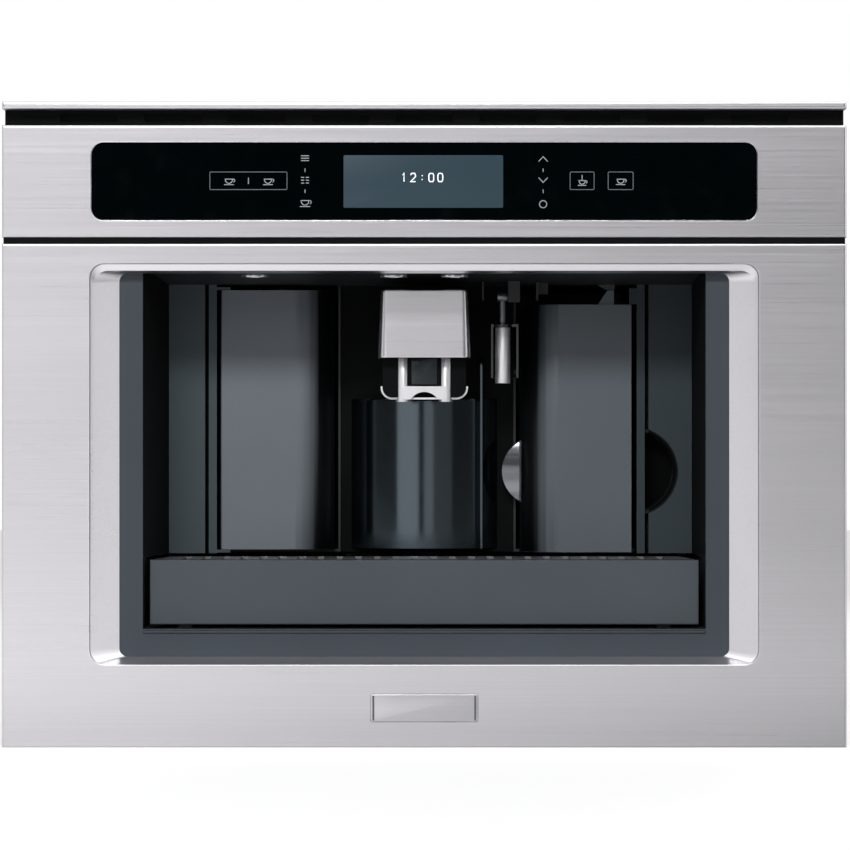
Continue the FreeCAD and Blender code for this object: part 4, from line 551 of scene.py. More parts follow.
def glass_finish():
    """Black touch glass: deep gloss with a breath of fingerprints."""
    made, tree, shader = new_material("touch_glass_black", IOR=1.5, Specular_IOR_Level=0.12)
    place = stretched(tree, EVEN)
    prints = spread(tree, noise(tree, place, 45.0, 4.0, 0.6), 0.45, 0.7, 0.03, 0.12)
    link(tree, prints, shader.inputs["Roughness"])
    tint = blended(tree, noise(tree, place, 8.0, 2.0), tone(0, 3, 4), tone(1, 6, 8))
    link(tree, tint, shader.inputs["Base Color"])
    return made


def display_finish():
    """Back-lit grey-blue display with its fine pixel rows."""
    made, tree, shader = new_material(
        "display_backlight", Roughness=0.25, Specular_IOR_Level=0.2, Emission_Strength=0.7
    )
    rows = spread(tree, noise(tree, stretched(tree, (900.0, 1.0, 2600.0)), 1.0, 1.0), 0.3, 0.7, 0.93, 1.05)
    across = spread(tree, position(tree)["X"], -0.056, 0.056, 0.0, 1.0)
    base = blended(tree, across, tone(64, 84, 96), tone(62, 83, 94))
    glow = shaded(tree, base, rows)
    link(tree, glow, shader.inputs["Emission Color"])
    shader.inputs["Base Color"].default_value = tone(5, 9, 11)
    return made


def print_finish(name, colour, glow):
    """Screen print behind the glass, lit from within."""
    made, tree, shader = new_material(name, Roughness=0.5)
    uneven = spread(tree, noise(tree, stretched(tree, EVEN), 700.0, 2.0), 0.3, 0.7, 0.85, 1.0)
    lit = shaded(tree, colour, uneven)
    link(tree, lit, shader.inputs["Base Color"])
    link(tree, lit, shader.inputs["Emission Color"])
    shader.inputs["Emission Strength"].default_value = glow
    return made


def chrome_finish():
    """Polished plating with faint wipe marks."""
    made, tree, shader = new_material("polished_chrome", Metallic=1.0)
    wipes = noise(tree, stretched(tree, (260.0, 260.0, 40.0)), 1.0, 3.0)
    link(tree, spread(tree, wipes, 0.3, 0.75, 0.08, 0.22), shader.inputs["Roughness"])
    link(tree, blended(tree, wipes, tone(228, 228, 232), tone(240, 241, 243)), shader.inputs["Base Color"])
    return made


def clear_finish():
    """Clear moulded tank plastic with faint flow marks."""
    made, tree, shader = new_material("clear_tank_plastic", IOR=1.46, Transmission_Weight=1.0)
    flow = noise(tree, stretched(tree, (30.0, 30.0, 6.0)), 1.0, 2.0)
    link(tree, spread(tree, flow, 0.3, 0.7, 0.05, 0.16), shader.inputs["Roughness"])
    link(tree, blended(tree, flow, tone(214, 222, 224), tone(232, 238, 240)), shader.inputs["Base Color"])
    bumped(tree, shader, flow, 0.15, SKIN_DEPTH)
    return made


def lens_finish():
    """Ribbed lamp lens in its bright bezel."""
    made, tree, shader = new_material("lamp_lens_clear", Metallic=0.7)
    ribs = noise(tree, stretched(tree, (900.0, 900.0, 200.0)), 1.0, 1.0)
    link(tree, spread(tree, ribs, 0.3, 0.7, 0.08, 0.25), shader.inputs["Roughness"])
    link(tree, blended(tree, ribs, tone(170, 174, 178), tone(226, 228, 230)), shader.inputs["Base Color"])
    bumped(tree, shader, ribs, 0.3, 0.0003)
    return made


def zinc_finish():
    """Zinc-coated sheet: crystal spangle, dull patches and a few rolling lines."""
    made, tree, shader = new_material("zinc_sheet", Metallic=0.6)
    cells = node(tree, "ShaderNodeTexVoronoi", Scale_in=130.0)
    link(tree, stretched(tree, EVEN), cells.inputs["Vector"])
    parts = node(tree, "ShaderNodeSeparateColor")
    link(tree, cells.outputs["Color"], parts.inputs[0])
    shade = spread(tree, parts.outputs[0], 0.0, 1.0, 0.93, 1.05)
    film = placed(tree, "settled_dust", Amount=0.45, Patchiness=18.0)
    base = shaded(tree, tone(184, 187, 190), shade)
    link(tree, blended(tree, film.outputs["Mask"], base, tone(140, 138, 132)), shader.inputs["Base Color"])
    link(tree, spread(tree, parts.outputs[1], 0.0, 1.0, 0.34, 0.52), shader.inputs["Roughness"])
    return made


def cast_finish():
    """As-cast aluminium with a sand-like skin."""
    made, tree, shader = new_material("cast_aluminium", Metallic=1.0)
    mould = placed(tree, "moulded_grain", Grain=700.0, Gloss_low=0.4, Gloss_high=0.6)
    link(tree, shaded(tree, tone(176, 176, 178), mould.outputs["Shade"]), shader.inputs["Base Color"])
    grained(tree, shader, mould, 0.5, SKIN_DEPTH)
    return made


def circuit_finish():
    """Green lacquered board with the pattern of its tracks."""
    made, tree, shader = new_material("circuit_lacquer", Roughness=0.3)
    tracks = node(tree, "ShaderNodeTexBrick", Scale_in=1.0)
    tracks.inputs["Brick Width"].default_value = 0.012
    tracks.inputs["Row Height"].default_value = 0.004
    tracks.inputs["Mortar Size"].default_value = 0.0004
    link(tree, stretched(tree, EVEN), tracks.inputs["Vector"])
    tint = blended(tree, tracks.outputs["Fac"], tone(22, 88, 58), tone(48, 122, 84))
    link(tree, tint, shader.inputs["Base Color"])
    bumped(tree, shader, tracks.outputs["Fac"], 0.2, GRAIN_DEPTH)
    return made


def build_finishes():
    """One finish for each material slot of the record."""
    steel, rail = tone(214, 212, 216), tone(176, 178, 182)
    grey, grey_edge = tone(52, 62, 69), tone(128, 134, 140)
    black, black_edge = tone(26, 28, 30), tone(60, 62, 64)
    gloss, gloss_edge = tone(8, 14, 15), tone(40, 44, 46)
    red, red_edge = tone(188, 30, 24), tone(214, 84, 76)
    rubber, rubber_edge = tone(30, 30, 31), tone(58, 58, 58)
    hose, hose_edge = tone(206, 208, 204), tone(222, 222, 218)
    return {
        "brushed_steel": steel_finish("front_steel", steel, LONG_BRUSH, (0.27, 0.36)),
        "black_glass": glass_finish(),
        "grey_plastic": plastic_finish("grey_plastic", grey, 1500.0, (0.28, 0.36), 0.15, grey_edge),
        "black_plastic": plastic_finish("black_plastic", black, 1100.0, (0.45, 0.6), 0.3, black_edge),
        "black_gloss": plastic_finish(
            "black_gloss_plastic", gloss, 300.0, (0.1, 0.2), 0.02, gloss_edge, coat=0.6, dust=0.12
        ),
        "clear_plastic": clear_finish(),
        "lamp_lens": lens_finish(),
        "chrome": chrome_finish(),
        "zinc_sheet": zinc_finish(),
        "zinc_rail": steel_finish("zinc_plated_rail", rail, (500.0, 8.0, 500.0), (0.3, 0.45), bump=0.08),
        "cast_aluminium": cast_finish(),
        "circuit": circuit_finish(),
        "red_plastic": plastic_finish("red_plastic", red, 900.0, (0.25, 0.35), 0.1, red_edge, dust=0.1),
        "rubber": plastic_finish("black_rubber", rubber, 800.0, (0.75, 0.9), 0.4, rubber_edge, dust=0.4),
        "hose": plastic_finish("silicone_hose", hose, 500.0, (0.3, 0.45), 0.1, hose_edge),
    }


FINISH = build_finishes()
NODE_FINISH = {
    "service_door": cover_finish("door_grey", tone(122, 129, 137)),
    # painted shade: the tank cover's grey is darker than the door's, standing in for the lesser light it gets
    "tank_front": cover_finish("tank_cover_shaded_grey", tone(104, 112, 119)),
    # wall_finish paints near-black shade on every face that doesn't look squarely out, also on the frame's
    # and tray's returns
    "niche_wall_left": wall_finish("left_wall_grey", tone(78, 88, 93)),
    # painted shade: the right wall's grey is darker than the left's, standing in for the lesser light on the
    # right
    "niche_wall_right": wall_finish("right_wall_shaded_grey", tone(62, 71, 75)),
    "niche_frame": wall_finish("frame_grey", tone(78, 85, 92)),
    "tray_front": wall_finish("tray_grey", tone(88, 95, 101)),
    # painted shade: the trim's darker edge colour draws a grey shade line along its edges
    "top_trim": steel_finish(
        "trim_steel", tone(208, 207, 210), LONG_BRUSH, (0.3, 0.4), edge=tone(140, 140, 142)
    ),
    "cup_grid": steel_finish("grid_steel", tone(150, 150, 154), (6.0, 500.0, 500.0), (0.35, 0.45)),
    "niche_back": matt_black_finish("niche_back_black"),
    "dispenser_body": matt_black_finish("dispenser_black"),
    "fascia_carrier": matt_black_finish("carrier_black"),
    "centre_column": column_finish(),
    "coffee_spouts": steel_finish("satin_spouts", tone(226, 225, 228), TURNED_BRUSH, (0.42, 0.52), bump=0.04),
    "wand_sleeve": steel_finish("satin_sleeve", tone(232, 231, 234), TURNED_BRUSH, (0.42, 0.52), bump=0.04),
    # painted shade: the tube's steel is darkened to stand for the shade it sits in
    "wand_tube": steel_finish("shaded_dark_tube", tone(96, 100, 102), TURNED_BRUSH, (0.26, 0.36), bump=0.04),
}


# ---- Nodes kept from the CAD ----

SHEET_NODES = (
    "side_panels", "rear_panel", "top_cover", "base_pan", "chassis_shelf", "front_frame", "control_fascia"
)
FINE_NODES = (
    "display_board", "touch_glass", "badge_plate", "power_inlet", "switch_rocker", "lamps", "cup_grid"
)
WELD_REACH = 0.01 * MM
EDGE_ANGLE = 24.0  # degrees from which an edge is rounded
FINE_EDGE = 0.15 * MM
MOULDED_EDGE = 0.4 * MM


def finish_nodes():
    """Every CAD node that stays gets its finish, and edges as round as its process leaves them."""
    for part in frame["record"]["subparts"]:
        name = part["node"]
        found = NODES[name]
        found.data.materials.clear()
        found.data.materials.append(NODE_FINISH.get(name, FINISH[part["material_slot"]]))
        weld = found.modifiers.new("weld", "WELD")
        weld.merge_threshold = WELD_REACH
        rounding = found.modifiers.new("edges", "BEVEL")
        rounding.limit_method = "ANGLE"
        rounding.angle_limit = math.radians(EDGE_ANGLE)
        rounding.segments = 2
        rounding.harden_normals = True
        rounding.width = FINE_EDGE if name in SHEET_NODES + FINE_NODES else MOULDED_EDGE


finish_nodes()


# ---- Steel front ----

SHEET = 1.0  # steel thickness
FOLD_R = 1.6
LIP_R = 0.8  # small radius where the drawn window leaves the face
LIP_STEP = 1.2  # sharp drop at the window's outline
EDGE_R = 0.45  # softened edge of a plain punched opening
FLAT_RING = 0.5  # width of the rings that keep the shading of the flat face flat
FOLD_STEPS = 4
FOLD_BACK = 18.0  # depth of the folded outer edge
SHEET_CORNER = 0.3
CREASE = 20.0  # degrees from which the sheet's shading breaks
SOFT_CREASE = 60.0  # the same for beads and bowed skins

WINDOW = (-235.5, 235.5, 58.7, 340.5)  # the drawn window's outline on the face
WINDOW_R = 10.0
WINDOW_END = (-215.8, 215.8, 63.3, 334.5)  # its outline where the slopes end
WINDOW_END_R = 6.0
WINDOW_DEPTH = 14.0
LIP_SHARES = ((0.0, 1.0), (0.2, 0.6), (0.85, 0.0))  # shares of the lip's step and radius
SLOPE_SHARES = ((0.01, 0.02), (0.035, 0.2), (0.15, 0.75), (0.97, 0.99))  # of the slope: all round, top
END_ROUND = 0.2

GLASS_GAP = 0.2
GLASS_HOLE_R = 8.7
BEAD_R = 8.5
BEAD_PROFILE = ((-0.15, 0.6), (-0.1, 0.1), (0.25, 0.02), (0.7, 0.1), (0.75, 0.6))  # outwards, depth


def folded_panel(outer, inner_rings):
    """Mesh maker: sheet panel folded back at its outer edge, with an opening shaped by rings.

    The rings run from the outer fold over the face into the opening and back along the inner side.
    """
    x0, x1, z0, z1 = outer

    def outline(inset, depth):
        ring = rounded_outline(x0 + inset, x1 - inset, z0 + inset, z1 - inset, SHEET_CORNER)
        return [at(x, depth, z) for x, z in ring]

    def make():
        bm = bmesh.new()
        rings = [outline(0.0, FOLD_BACK)]
        for n in range(FOLD_STEPS + 1):
            turn = math.radians(90 * n / FOLD_STEPS)
            rings.append(outline(FOLD_R * (1 - math.cos(turn)), FOLD_R * (1 - math.sin(turn))))
        rings.append(outline(FOLD_R + FLAT_RING, 0.0))
        rings += inner_rings
        rings.append(outline(SHEET, SHEET))
        rings.append(outline(SHEET, FOLD_BACK))
        add_rings(bm, rings, joined=True)
        return bm

    return make


def window_rings():
    """Rings of the drawn window: over its lip, down the slope, round the end and back up behind."""
    rings = []
    ox0, ox1, oz0, oz1 = WINDOW
    ix0, ix1, iz0, iz1 = WINDOW_END

    def between(share, back, grow, top_share=None):
        top_share = share if top_share is None else top_share
        x0, x1 = ox0 + (ix0 - ox0) * share - grow, ox1 + (ix1 - ox1) * share + grow
        z0, z1 = oz0 + (iz0 - oz0) * share - grow, oz1 + (iz1 - oz1) * top_share + grow
        radius = WINDOW_R + (WINDOW_END_R - WINDOW_R) * share + grow
        return [at(x, back, z) for x, z in rounded_outline(x0, x1, z0, z1, radius)]

    rings.append(between(0.0, 0.0, LIP_R + FLAT_RING))
    for down, out in LIP_SHARES:
        rings.append(between(0.0, LIP_STEP * down, LIP_R * out))
    for share, top_share in SLOPE_SHARES:
        rings.append(between(share, LIP_STEP + (WINDOW_DEPTH - LIP_STEP) * share, 0.0, top_share))
    rings.append(between(1.0, WINDOW_DEPTH, 0.0))
    rings.append(between(1.0, WINDOW_DEPTH + END_ROUND, SHEET * 0.6))
    rings.append(between(1.0, WINDOW_DEPTH, SHEET))
    rings.append(between(0.0, SHEET, SHEET + LIP_R))
    return rings


def plain_rings(x0, x1, z0, z1, radius):
    """Rings of a plain punched opening with a softened edge."""
    rings = []
    profile = (
        (EDGE_R + FLAT_RING, 0.0), (EDGE_R, 0.0), (EDGE_R * 0.3, EDGE_R * 0.3), (0.0, EDGE_R), (0.0, SHEET)
    )
    for grow, depth in profile:
        outline = rounded_outline(x0 - grow, x1 + grow, z0 - grow, z1 + grow, radius + grow)
        rings.append([at(x, depth, z) for x, z in outline])
    return rings


def bead_maker(x0, x1, z0, z1):
    """Mesh maker for the bead round the glass."""

    def make():
        bm = bmesh.new()
        rings = []
        for grow, depth in BEAD_PROFILE:
            outline = rounded_outline(x0 - grow, x1 + grow, z0 - grow, z1 + grow, BEAD_R + grow)
            rings.append([at(x, depth, z) for x, z in outline])
        add_rings(bm, rings, joined=True)
        return bm

    return make


def steel_front():
    """Lower panel with its sloping window, and the fascia that frames the touch glass."""
    steel = FINISH["brushed_steel"]
    x0, x1, _, _, z0, z1 = extent("front_frame")
    panel = folded_panel((x0, x1, z0, z1), window_rings())
    lower = piece("lower_front", panel, "machine", steel, CREASE)
    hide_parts("front_frame")
    gx0, gx1, _, _, gz0, gz1 = extent("touch_glass")
    x0, x1, _, _, z0, z1 = extent("control_fascia")
    hole = plain_rings(
        gx0 - GLASS_GAP, gx1 + GLASS_GAP, gz0 - GLASS_GAP, gz1 + GLASS_GAP, GLASS_HOLE_R
    )
    panel = folded_panel((x0, x1, z0, z1), hole)
    upper = piece("upper_front", panel, "machine", steel, CREASE)
    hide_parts("control_fascia")
    piece("glass_bead", bead_maker(gx0, gx1, gz0, gz1), "machine", FINISH["chrome"], SOFT_CREASE)


steel_front()


# ---- Control panel ----

GLASS = extent("touch_glass")
PRINT_FACE = GLASS[2] - 0.10  # the print shows as if just on the glass
PRINT_BACK = GLASS[2] + 0.02
KEY_LOW, KEY_HIGH = 393.0, 405.4
CUP_KEY = (-151.0, -96.7)
SIDE_KEYS = ((102.7, 119.6), (129.5, 147.1))
KEY_LINE = 0.5
DISPLAY = (-56.9, 55.5, 380.2, 417.2)
CUP_XS = (-137.6, -110.1)
CUP_SIZE, LINED_CUP_SIZE, PLAIN_CUP_SIZE, LOW_CUP_SIZE = 5.2, 4.4, 5.0, 5.6
CUP_DROP, LINED_CUP_DROP = 0.4, 1.2  # how far the cups sit below the middle of the keys
CUP_LINE = (0.6, 4.0)  # ends of the line over the first side key's cup, above the keys' middle
DIVIDER_HALF = 2.2
KEY_R = 0.8
DISPLAY_R = 1.0
DISPLAY_EDGE = 0.03
DIGIT_RISE = 0.04  # by which the lit digits stand over the display's face
LEFT_X, RIGHT_X = -84.0, 83.7  # the columns of small symbols beside the display
STRENGTH_ROWS = (413.4, 415.1, 416.8)
SIZE_ROWS = (397.6, 399.6, 401.6)
ROW_HALF = 2.8
ROW_SPLIT = 0.6
LOW_CUP_Z = 383.6
ARROW_HALF, ARROW_RISE = 3.2, 3.4
UP_BASE, DOWN_BASE = 412.8, 401.4
RING_Z, RING_R = 382.7, 2.6
TICK_ZS = (391.8, 406.6)
TICK_HALF = 1.2
PRINT_LINE = 0.55
DIGIT_LINE = 0.75
DIGIT_WIDE, DIGIT_TALL, DIGIT_PITCH = 3.4, 5.8, 6.4
DIGIT_LOW = 398.6
PRINT_INK = print_finish("panel_print", tone(156, 164, 168), 0.35)
OUTLINE_INK = print_finish("key_outline_print", tone(96, 104, 108), 0.35)
DIGIT_INK = print_finish("clock_digits_lit", tone(236, 240, 244), 0.9)
SCREEN = display_finish()


def cup_icon(x, z, size):
    """Side view of a small cup with its handle, on a saucer line."""
    half = size / 2
    bowl = arc(x, z + half * 0.6, half, 180, 360, 10, 1.15)
    return [
        (bowl, True),
        (arc(x + half * 1.15, z + half * 0.2, half * 0.42, -80, 90, 6), False),
        ([(x - half * 1.3, z - half * 0.9), (x + half * 1.3, z - half * 0.9)], False),
    ]


def key_outlines():
    """Frames round the keys."""
    lines = []
    for x0, x1 in (CUP_KEY, *SIDE_KEYS):
        lines.append((rounded_outline(x0, x1, KEY_LOW, KEY_HIGH, KEY_R, 3), True))
    return strokes(lines, KEY_LINE, PRINT_FACE, PRINT_BACK)


def panel_print():
    """Symbols on and between the keys."""
    lines = []
    middle = sum(CUP_KEY) / 2
    height = (KEY_LOW + KEY_HIGH) / 2
    lines.append(([(middle, height - DIVIDER_HALF), (middle, height + DIVIDER_HALF)], False))
    for x in CUP_XS:
        lines += cup_icon(x, height - CUP_DROP, CUP_SIZE)
    left, right = (sum(pair) / 2 for pair in SIDE_KEYS)
    lines += cup_icon(left, height - LINED_CUP_DROP, LINED_CUP_SIZE)
    lines.append(([(left, height + rise) for rise in CUP_LINE], False))
    lines += cup_icon(right, height - CUP_DROP, PLAIN_CUP_SIZE)
    # strength and cup size, on the left of the display
    for z in STRENGTH_ROWS:
        lines.append(([(LEFT_X - ROW_HALF, z), (LEFT_X + ROW_HALF, z)], False))
    for z in SIZE_ROWS:
        lines.append(([(LEFT_X - ROW_HALF, z), (LEFT_X - ROW_SPLIT, z)], False))
        lines.append(([(LEFT_X + ROW_SPLIT, z), (LEFT_X + ROW_HALF, z)], False))
    lines += cup_icon(LEFT_X, LOW_CUP_Z, LOW_CUP_SIZE)
    # up, down and accept, on its right
    for base, rise in ((UP_BASE, ARROW_RISE), (DOWN_BASE, -ARROW_RISE)):
        arrow = [(RIGHT_X - ARROW_HALF, base), (RIGHT_X, base + rise), (RIGHT_X + ARROW_HALF, base)]
        lines.append((arrow, False))
    lines.append((arc(RIGHT_X, RING_Z, RING_R, 0, 324, 9), True))
    for column in (LEFT_X, RIGHT_X):
        for z in TICK_ZS:
            lines.append(([(column, z - TICK_HALF), (column, z + TICK_HALF)], False))
    return strokes(lines, PRINT_LINE, PRINT_FACE, PRINT_BACK)


def clock_digits():
    """A plain clock, twelve o'clock."""
    shapes = {
        "1": [((0.25, 0.8), (0.5, 1), (0.5, 0))],
        "2": [((0, 0.8), (0.15, 1), (0.85, 1), (1, 0.8), (1, 0.6), (0, 0), (1, 0))],
        "0": [((0, 0.2), (0, 0.8), (0.2, 1), (0.8, 1), (1, 0.8), (1, 0.2), (0.8, 0), (0.2, 0), (0, 0.2))],
        ":": [((0.5, 0.2), (0.5, 0.32)), ((0.5, 0.66), (0.5, 0.78))],
    }
    lines = []
    start = -2.5 * DIGIT_PITCH
    for n, mark in enumerate("12:00"):
        x = start + n * DIGIT_PITCH
        for path in shapes[mark]:
            points = [(x + DIGIT_WIDE * u, DIGIT_LOW + DIGIT_TALL * v) for u, v in path]
            lines.append((points, False))
    return strokes(lines, DIGIT_LINE, PRINT_FACE - DIGIT_RISE, PRINT_BACK)


def control_panel():
    x0, x1, z0, z1 = DISPLAY
    pane = plate(x0, x1, z0, z1, DISPLAY_R, PRINT_FACE, PRINT_BACK, DISPLAY_EDGE)
    piece("display_pane", pane, "machine", SCREEN)
    piece("key_outlines", key_outlines(), "machine", OUTLINE_INK)
    piece("panel_print", panel_print(), "machine", PRINT_INK)
    piece("clock_digits", clock_digits(), "machine", DIGIT_INK)


control_panel()


# ---- Badge, nose pane, tank boss, column and hood ----

BADGE_R = 0.6
BADGE_EDGE = 0.25
BADGE_SUNK = 0.1  # by which the plate reaches behind the CAD's
BADGE_BAR = 1.6
BADGE_BAR_RISE = 0.2
BADGE_BAR_BACK = 0.05  # where a bar ends behind the plate's face
BADGE_BAR_SHORT = 0.6  # by which each bar stops short of the plate's edge
# painted shadow: a dark line drawn on the steel round the badge, where a seating gap would be in shade
SHADOW_GAP = 0.3
SHADOW_R = 0.9
SHADOW_WIDTH = 0.5
SHADOW_FACE, SHADOW_BACK = -0.06, 0.05
PANE = (-9.2, 9.2, 256.4, 275.3)
PANE_DEPTH = 63.1
PANE_THICK = 0.5
PANE_R = 0.5
PANE_EDGE = 0.15
BOSS_AT = (81.7, 193.3)
BOSS_R = 24.7
BOSS_RISE = 4.0
BOSS_REACH = 0.86  # share of the radius at which the cover's edge ends the boss
BOSS_ROWS = 24
BOSS_COLUMNS = 6
BOSS_EDGE_X = 69.6
BOSS_DEPTH = 127.8
COLUMN_BOW = 20.0
COLUMN_TOP = 246.3
COLUMN_SKIN = 0.15
COLUMN_STEPS = 56
COLUMN_FOOT = (0.1, 0.6)  # heights of the lowest rings above the column's foot
COLUMN_EDGE = ((1.4, 0.0), (0.9, 0.0), (0.4, 0.25), (0.1, 0.9))  # below the top, inwards
HOOD_HALF_LOW = 33.2
HOOD_HALF_TOP = 31.1
HOOD_FLAT = 27.2  # half width of the flat front between the rounded corners
HOOD_ROUND = 6.0
HOOD_FLAT_RING = 0.7
HOOD_CREASE = 30.0
HOOD_STEPS = 10
HOOD_RIM = ((3.5, 1.2), (0.4, 1.2), (0.0, 0.8), (0.0, 0.4), (0.2, 0.1), (0.5, 0.0), (1.0, 0.0))  # up, inwards
HOOD_CROWN = ((1.2, 0.0), (0.7, 0.0), (0.2, 0.2), (0.0, 0.7))  # below the top, inwards
BOSS_METAL = steel_finish("boss_satin", tone(128, 131, 136), (30.0, 400.0, 400.0), (0.12, 0.2), bump=0.03)
# dark steel for the badge's end bars and for its painted shadow line
DARK_STEEL = steel_finish("dark_steel_and_shadow", tone(104, 106, 112), (20.0, 900.0, 900.0), (0.4, 0.5), bump=0.05)


def badge():
    """Bare raised plate with a darker bar at each end and a painted shadow line round it."""
    x0, x1, front, back, z0, z1 = extent("badge_plate")
    face = front + BADGE_BAR_RISE
    body = plate(x0, x1, z0, z1, BADGE_R, face, back + BADGE_SUNK, BADGE_EDGE)
    blank = piece("badge_blank", body, "machine", FINISH["brushed_steel"])
    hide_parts("badge_plate")
    middle = (z0 + z1) / 2
    half = (z1 - z0) / 2 - BADGE_BAR_SHORT
    bars = []
    for x in (x0 + BADGE_BAR, x1 - BADGE_BAR):
        bars.append(([(x, middle - half), (x, middle + half)], False))
    raised = strokes(bars, BADGE_BAR, front, face + BADGE_BAR_BACK)
    piece("badge_bars", raised, "machine", DARK_STEEL)
    outline = rounded_outline(x0 - SHADOW_GAP, x1 + SHADOW_GAP, z0 - SHADOW_GAP, z1 + SHADOW_GAP, SHADOW_R, 4)
    shadow = strokes([(outline, True)], SHADOW_WIDTH, SHADOW_FACE, SHADOW_BACK)
    piece("badge_shadow_line", shadow, "machine", DARK_STEEL)


def pane_finish():
    """Smoked glossy pane with faint drying marks."""
    made, tree, shader = new_material("smoked_pane", IOR=1.6, Specular_Tint=(0.8, 0.92, 1.0, 1.0))
    marks = noise(tree, stretched(tree, (400.0, 400.0, 900.0)), 1.0, 3.0)
    link(tree, spread(tree, marks, 0.3, 0.75, 0.2, 0.26), shader.inputs["Roughness"])
    link(tree, blended(tree, marks, tone(10, 12, 13), tone(13, 15, 16)), shader.inputs["Base Color"])
    return made


def spout_pane():
    """Glossy pane in the nose of the spout carrier."""
    x0, x1, z0, z1 = PANE
    pane = plate(x0, x1, z0, z1, PANE_R, PANE_DEPTH, PANE_DEPTH + PANE_THICK, PANE_EDGE)
    piece("nose_pane", pane, "dispenser", pane_finish())


def boss_face():
    """Barrel-shaped face of the tank's finger boss, as far as the tank's cover leaves it bare."""
    x, z = BOSS_AT

    def make():
        bm = bmesh.new()
        rings = []
        for row in range(BOSS_ROWS + 1):
            share = BOSS_REACH * (2 * row / BOSS_ROWS - 1)
            left = x - BOSS_R * math.sqrt(1 - share * share)
            depth = BOSS_DEPTH - BOSS_RISE * (1 - share * share)
            steps = [left + (BOSS_EDGE_X - left) * n / BOSS_COLUMNS for n in range(BOSS_COLUMNS + 1)]
            rings.append([at(px, depth, z + BOSS_R * share) for px in steps])
        add_rings(bm, rings, closed=False)
        return bm

    piece("boss_face", make, "water_tank", BOSS_METAL, SOFT_CREASE)


def column_face():
    """Lacquered skin on the bowed front of the column, with a softened top edge."""
    x0, x1, _, back, z0, _ = extent("centre_column")
    half = (x1 - x0) / 2
    middle = (x0 + x1) / 2
    radius = (half * half + COLUMN_BOW * COLUMN_BOW) / (2 * COLUMN_BOW)
    centre = back - COLUMN_BOW + radius
    reach = math.asin(half / radius)
    levels = [(z0 + up, 0.0) for up in COLUMN_FOOT]
    levels += [(COLUMN_TOP - down, inset) for down, inset in COLUMN_EDGE]

    def make():
        bm = bmesh.new()
        rings = []
        for z, inset in levels:
            r = radius + COLUMN_SKIN - inset
            turns = [reach * (2 * n / COLUMN_STEPS - 1) for n in range(COLUMN_STEPS + 1)]
            rings.append([at(middle + r * math.sin(turn), centre - r * math.cos(turn), z) for turn in turns])
        add_rings(bm, rings, closed=False)
        return bm

    piece("column_face", make, "machine", NODE_FINISH["centre_column"], SOFT_CREASE)


def hood():
    """Spout hood: flat upright front, rounded corners whose sides flare downwards, hollow below."""
    _, _, front, back, z0, z1 = extent("dispenser_cover")

    def outline(z, inset):
        share = (z - z0) / (z1 - z0)
        half = HOOD_HALF_LOW + (HOOD_HALF_TOP - HOOD_HALF_LOW) * share - inset
        flat = HOOD_FLAT - inset
        side = [(half, back)]
        for n in range(HOOD_STEPS + 1):
            turn = math.pi / 2 * n / HOOD_STEPS
            x = flat + (half - flat) * math.cos(turn)
            side.append((x, front + inset + HOOD_ROUND * (1 - math.sin(turn))))
        side.append((flat - HOOD_FLAT_RING, front + inset))
        return side + [(-x, depth) for x, depth in reversed(side)]

    def make():
        bm = bmesh.new()
        wall = [(z0 + up, inset) for up, inset in HOOD_RIM]
        wall += [(z1 - down, inset) for down, inset in HOOD_CROWN]
        rings = [[at(x, depth, z) for x, depth in outline(z, inset)] for z, inset in wall]
        add_rings(bm, rings, cap_first=True, cap_last=True)
        return bm

    made = piece("spout_hood", make, "dispenser", FINISH["brushed_steel"], HOOD_CREASE)
    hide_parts("dispenser_cover")


badge()
spout_pane()
boss_face()
column_face()
hood()


# ---- Studio ----

FLOOR_REACH = 6.0
FLOOR_SHADES = (0.50, 0.52)
FLOOR_SEEN = 0.62  # glow that the camera adds to the floor
# Painted reflection: glow on the floor that only mirrored rays see, bright on the left and fading to none on
# the right, cut off near the camera, plus a band in front of the machine's foot: from and to a place in
# metres, from and to a level
MIRROR_ACROSS = (-0.4, 0.4, 0.45, 0.0)
MIRROR_FAR = (-3.1, -2.9, 0.0, 1.0)
MIRROR_NEAR = (-1.1, -0.8, 0.0, 0.6)
MIRROR_FOOT = (-0.5, -0.42, 1.0, 0.0)
ROOM_LEVEL = 0.07
SIDE_LEVELS = (1.5, 2.2)  # the bright left and right sides of the room, as surfaces mirror them
SIDE_SPAN = (-0.3, 0.3)
FRONT_SPAN = (-0.62, -0.36)  # where the dark room behind the camera turns into the bright sides
BACK_FALL = (0.0, 0.25, 1.0, 0.2)
CAMERA_BACK = 3.0
CAMERA_FIELD = 0.5986  # width of the view at the steel face
CAMERA_X = 0.0005
CAMERA_Z = 0.2272
SENSOR = 36.0
# Lamps that face straight back: name, x, y, z, width, height, watts
FRONT_BOXES = (
    ("front_low", -0.875, -2.75, 0.24, 1.19, 0.44, 1.97),
    ("front_low_middle", 0.215, -2.75, 0.24, 0.47, 0.44, 0.56),
    ("front_low_right", 0.98, -2.75, 0.24, 1.05, 0.44, 0.35),
    ("front_high_right", 0.75, -2.7, 1.12, 1.1, 0.75, 1.2),
    ("front_high", -0.75, -2.7, 1.12, 1.5, 0.75, 4.9),
)


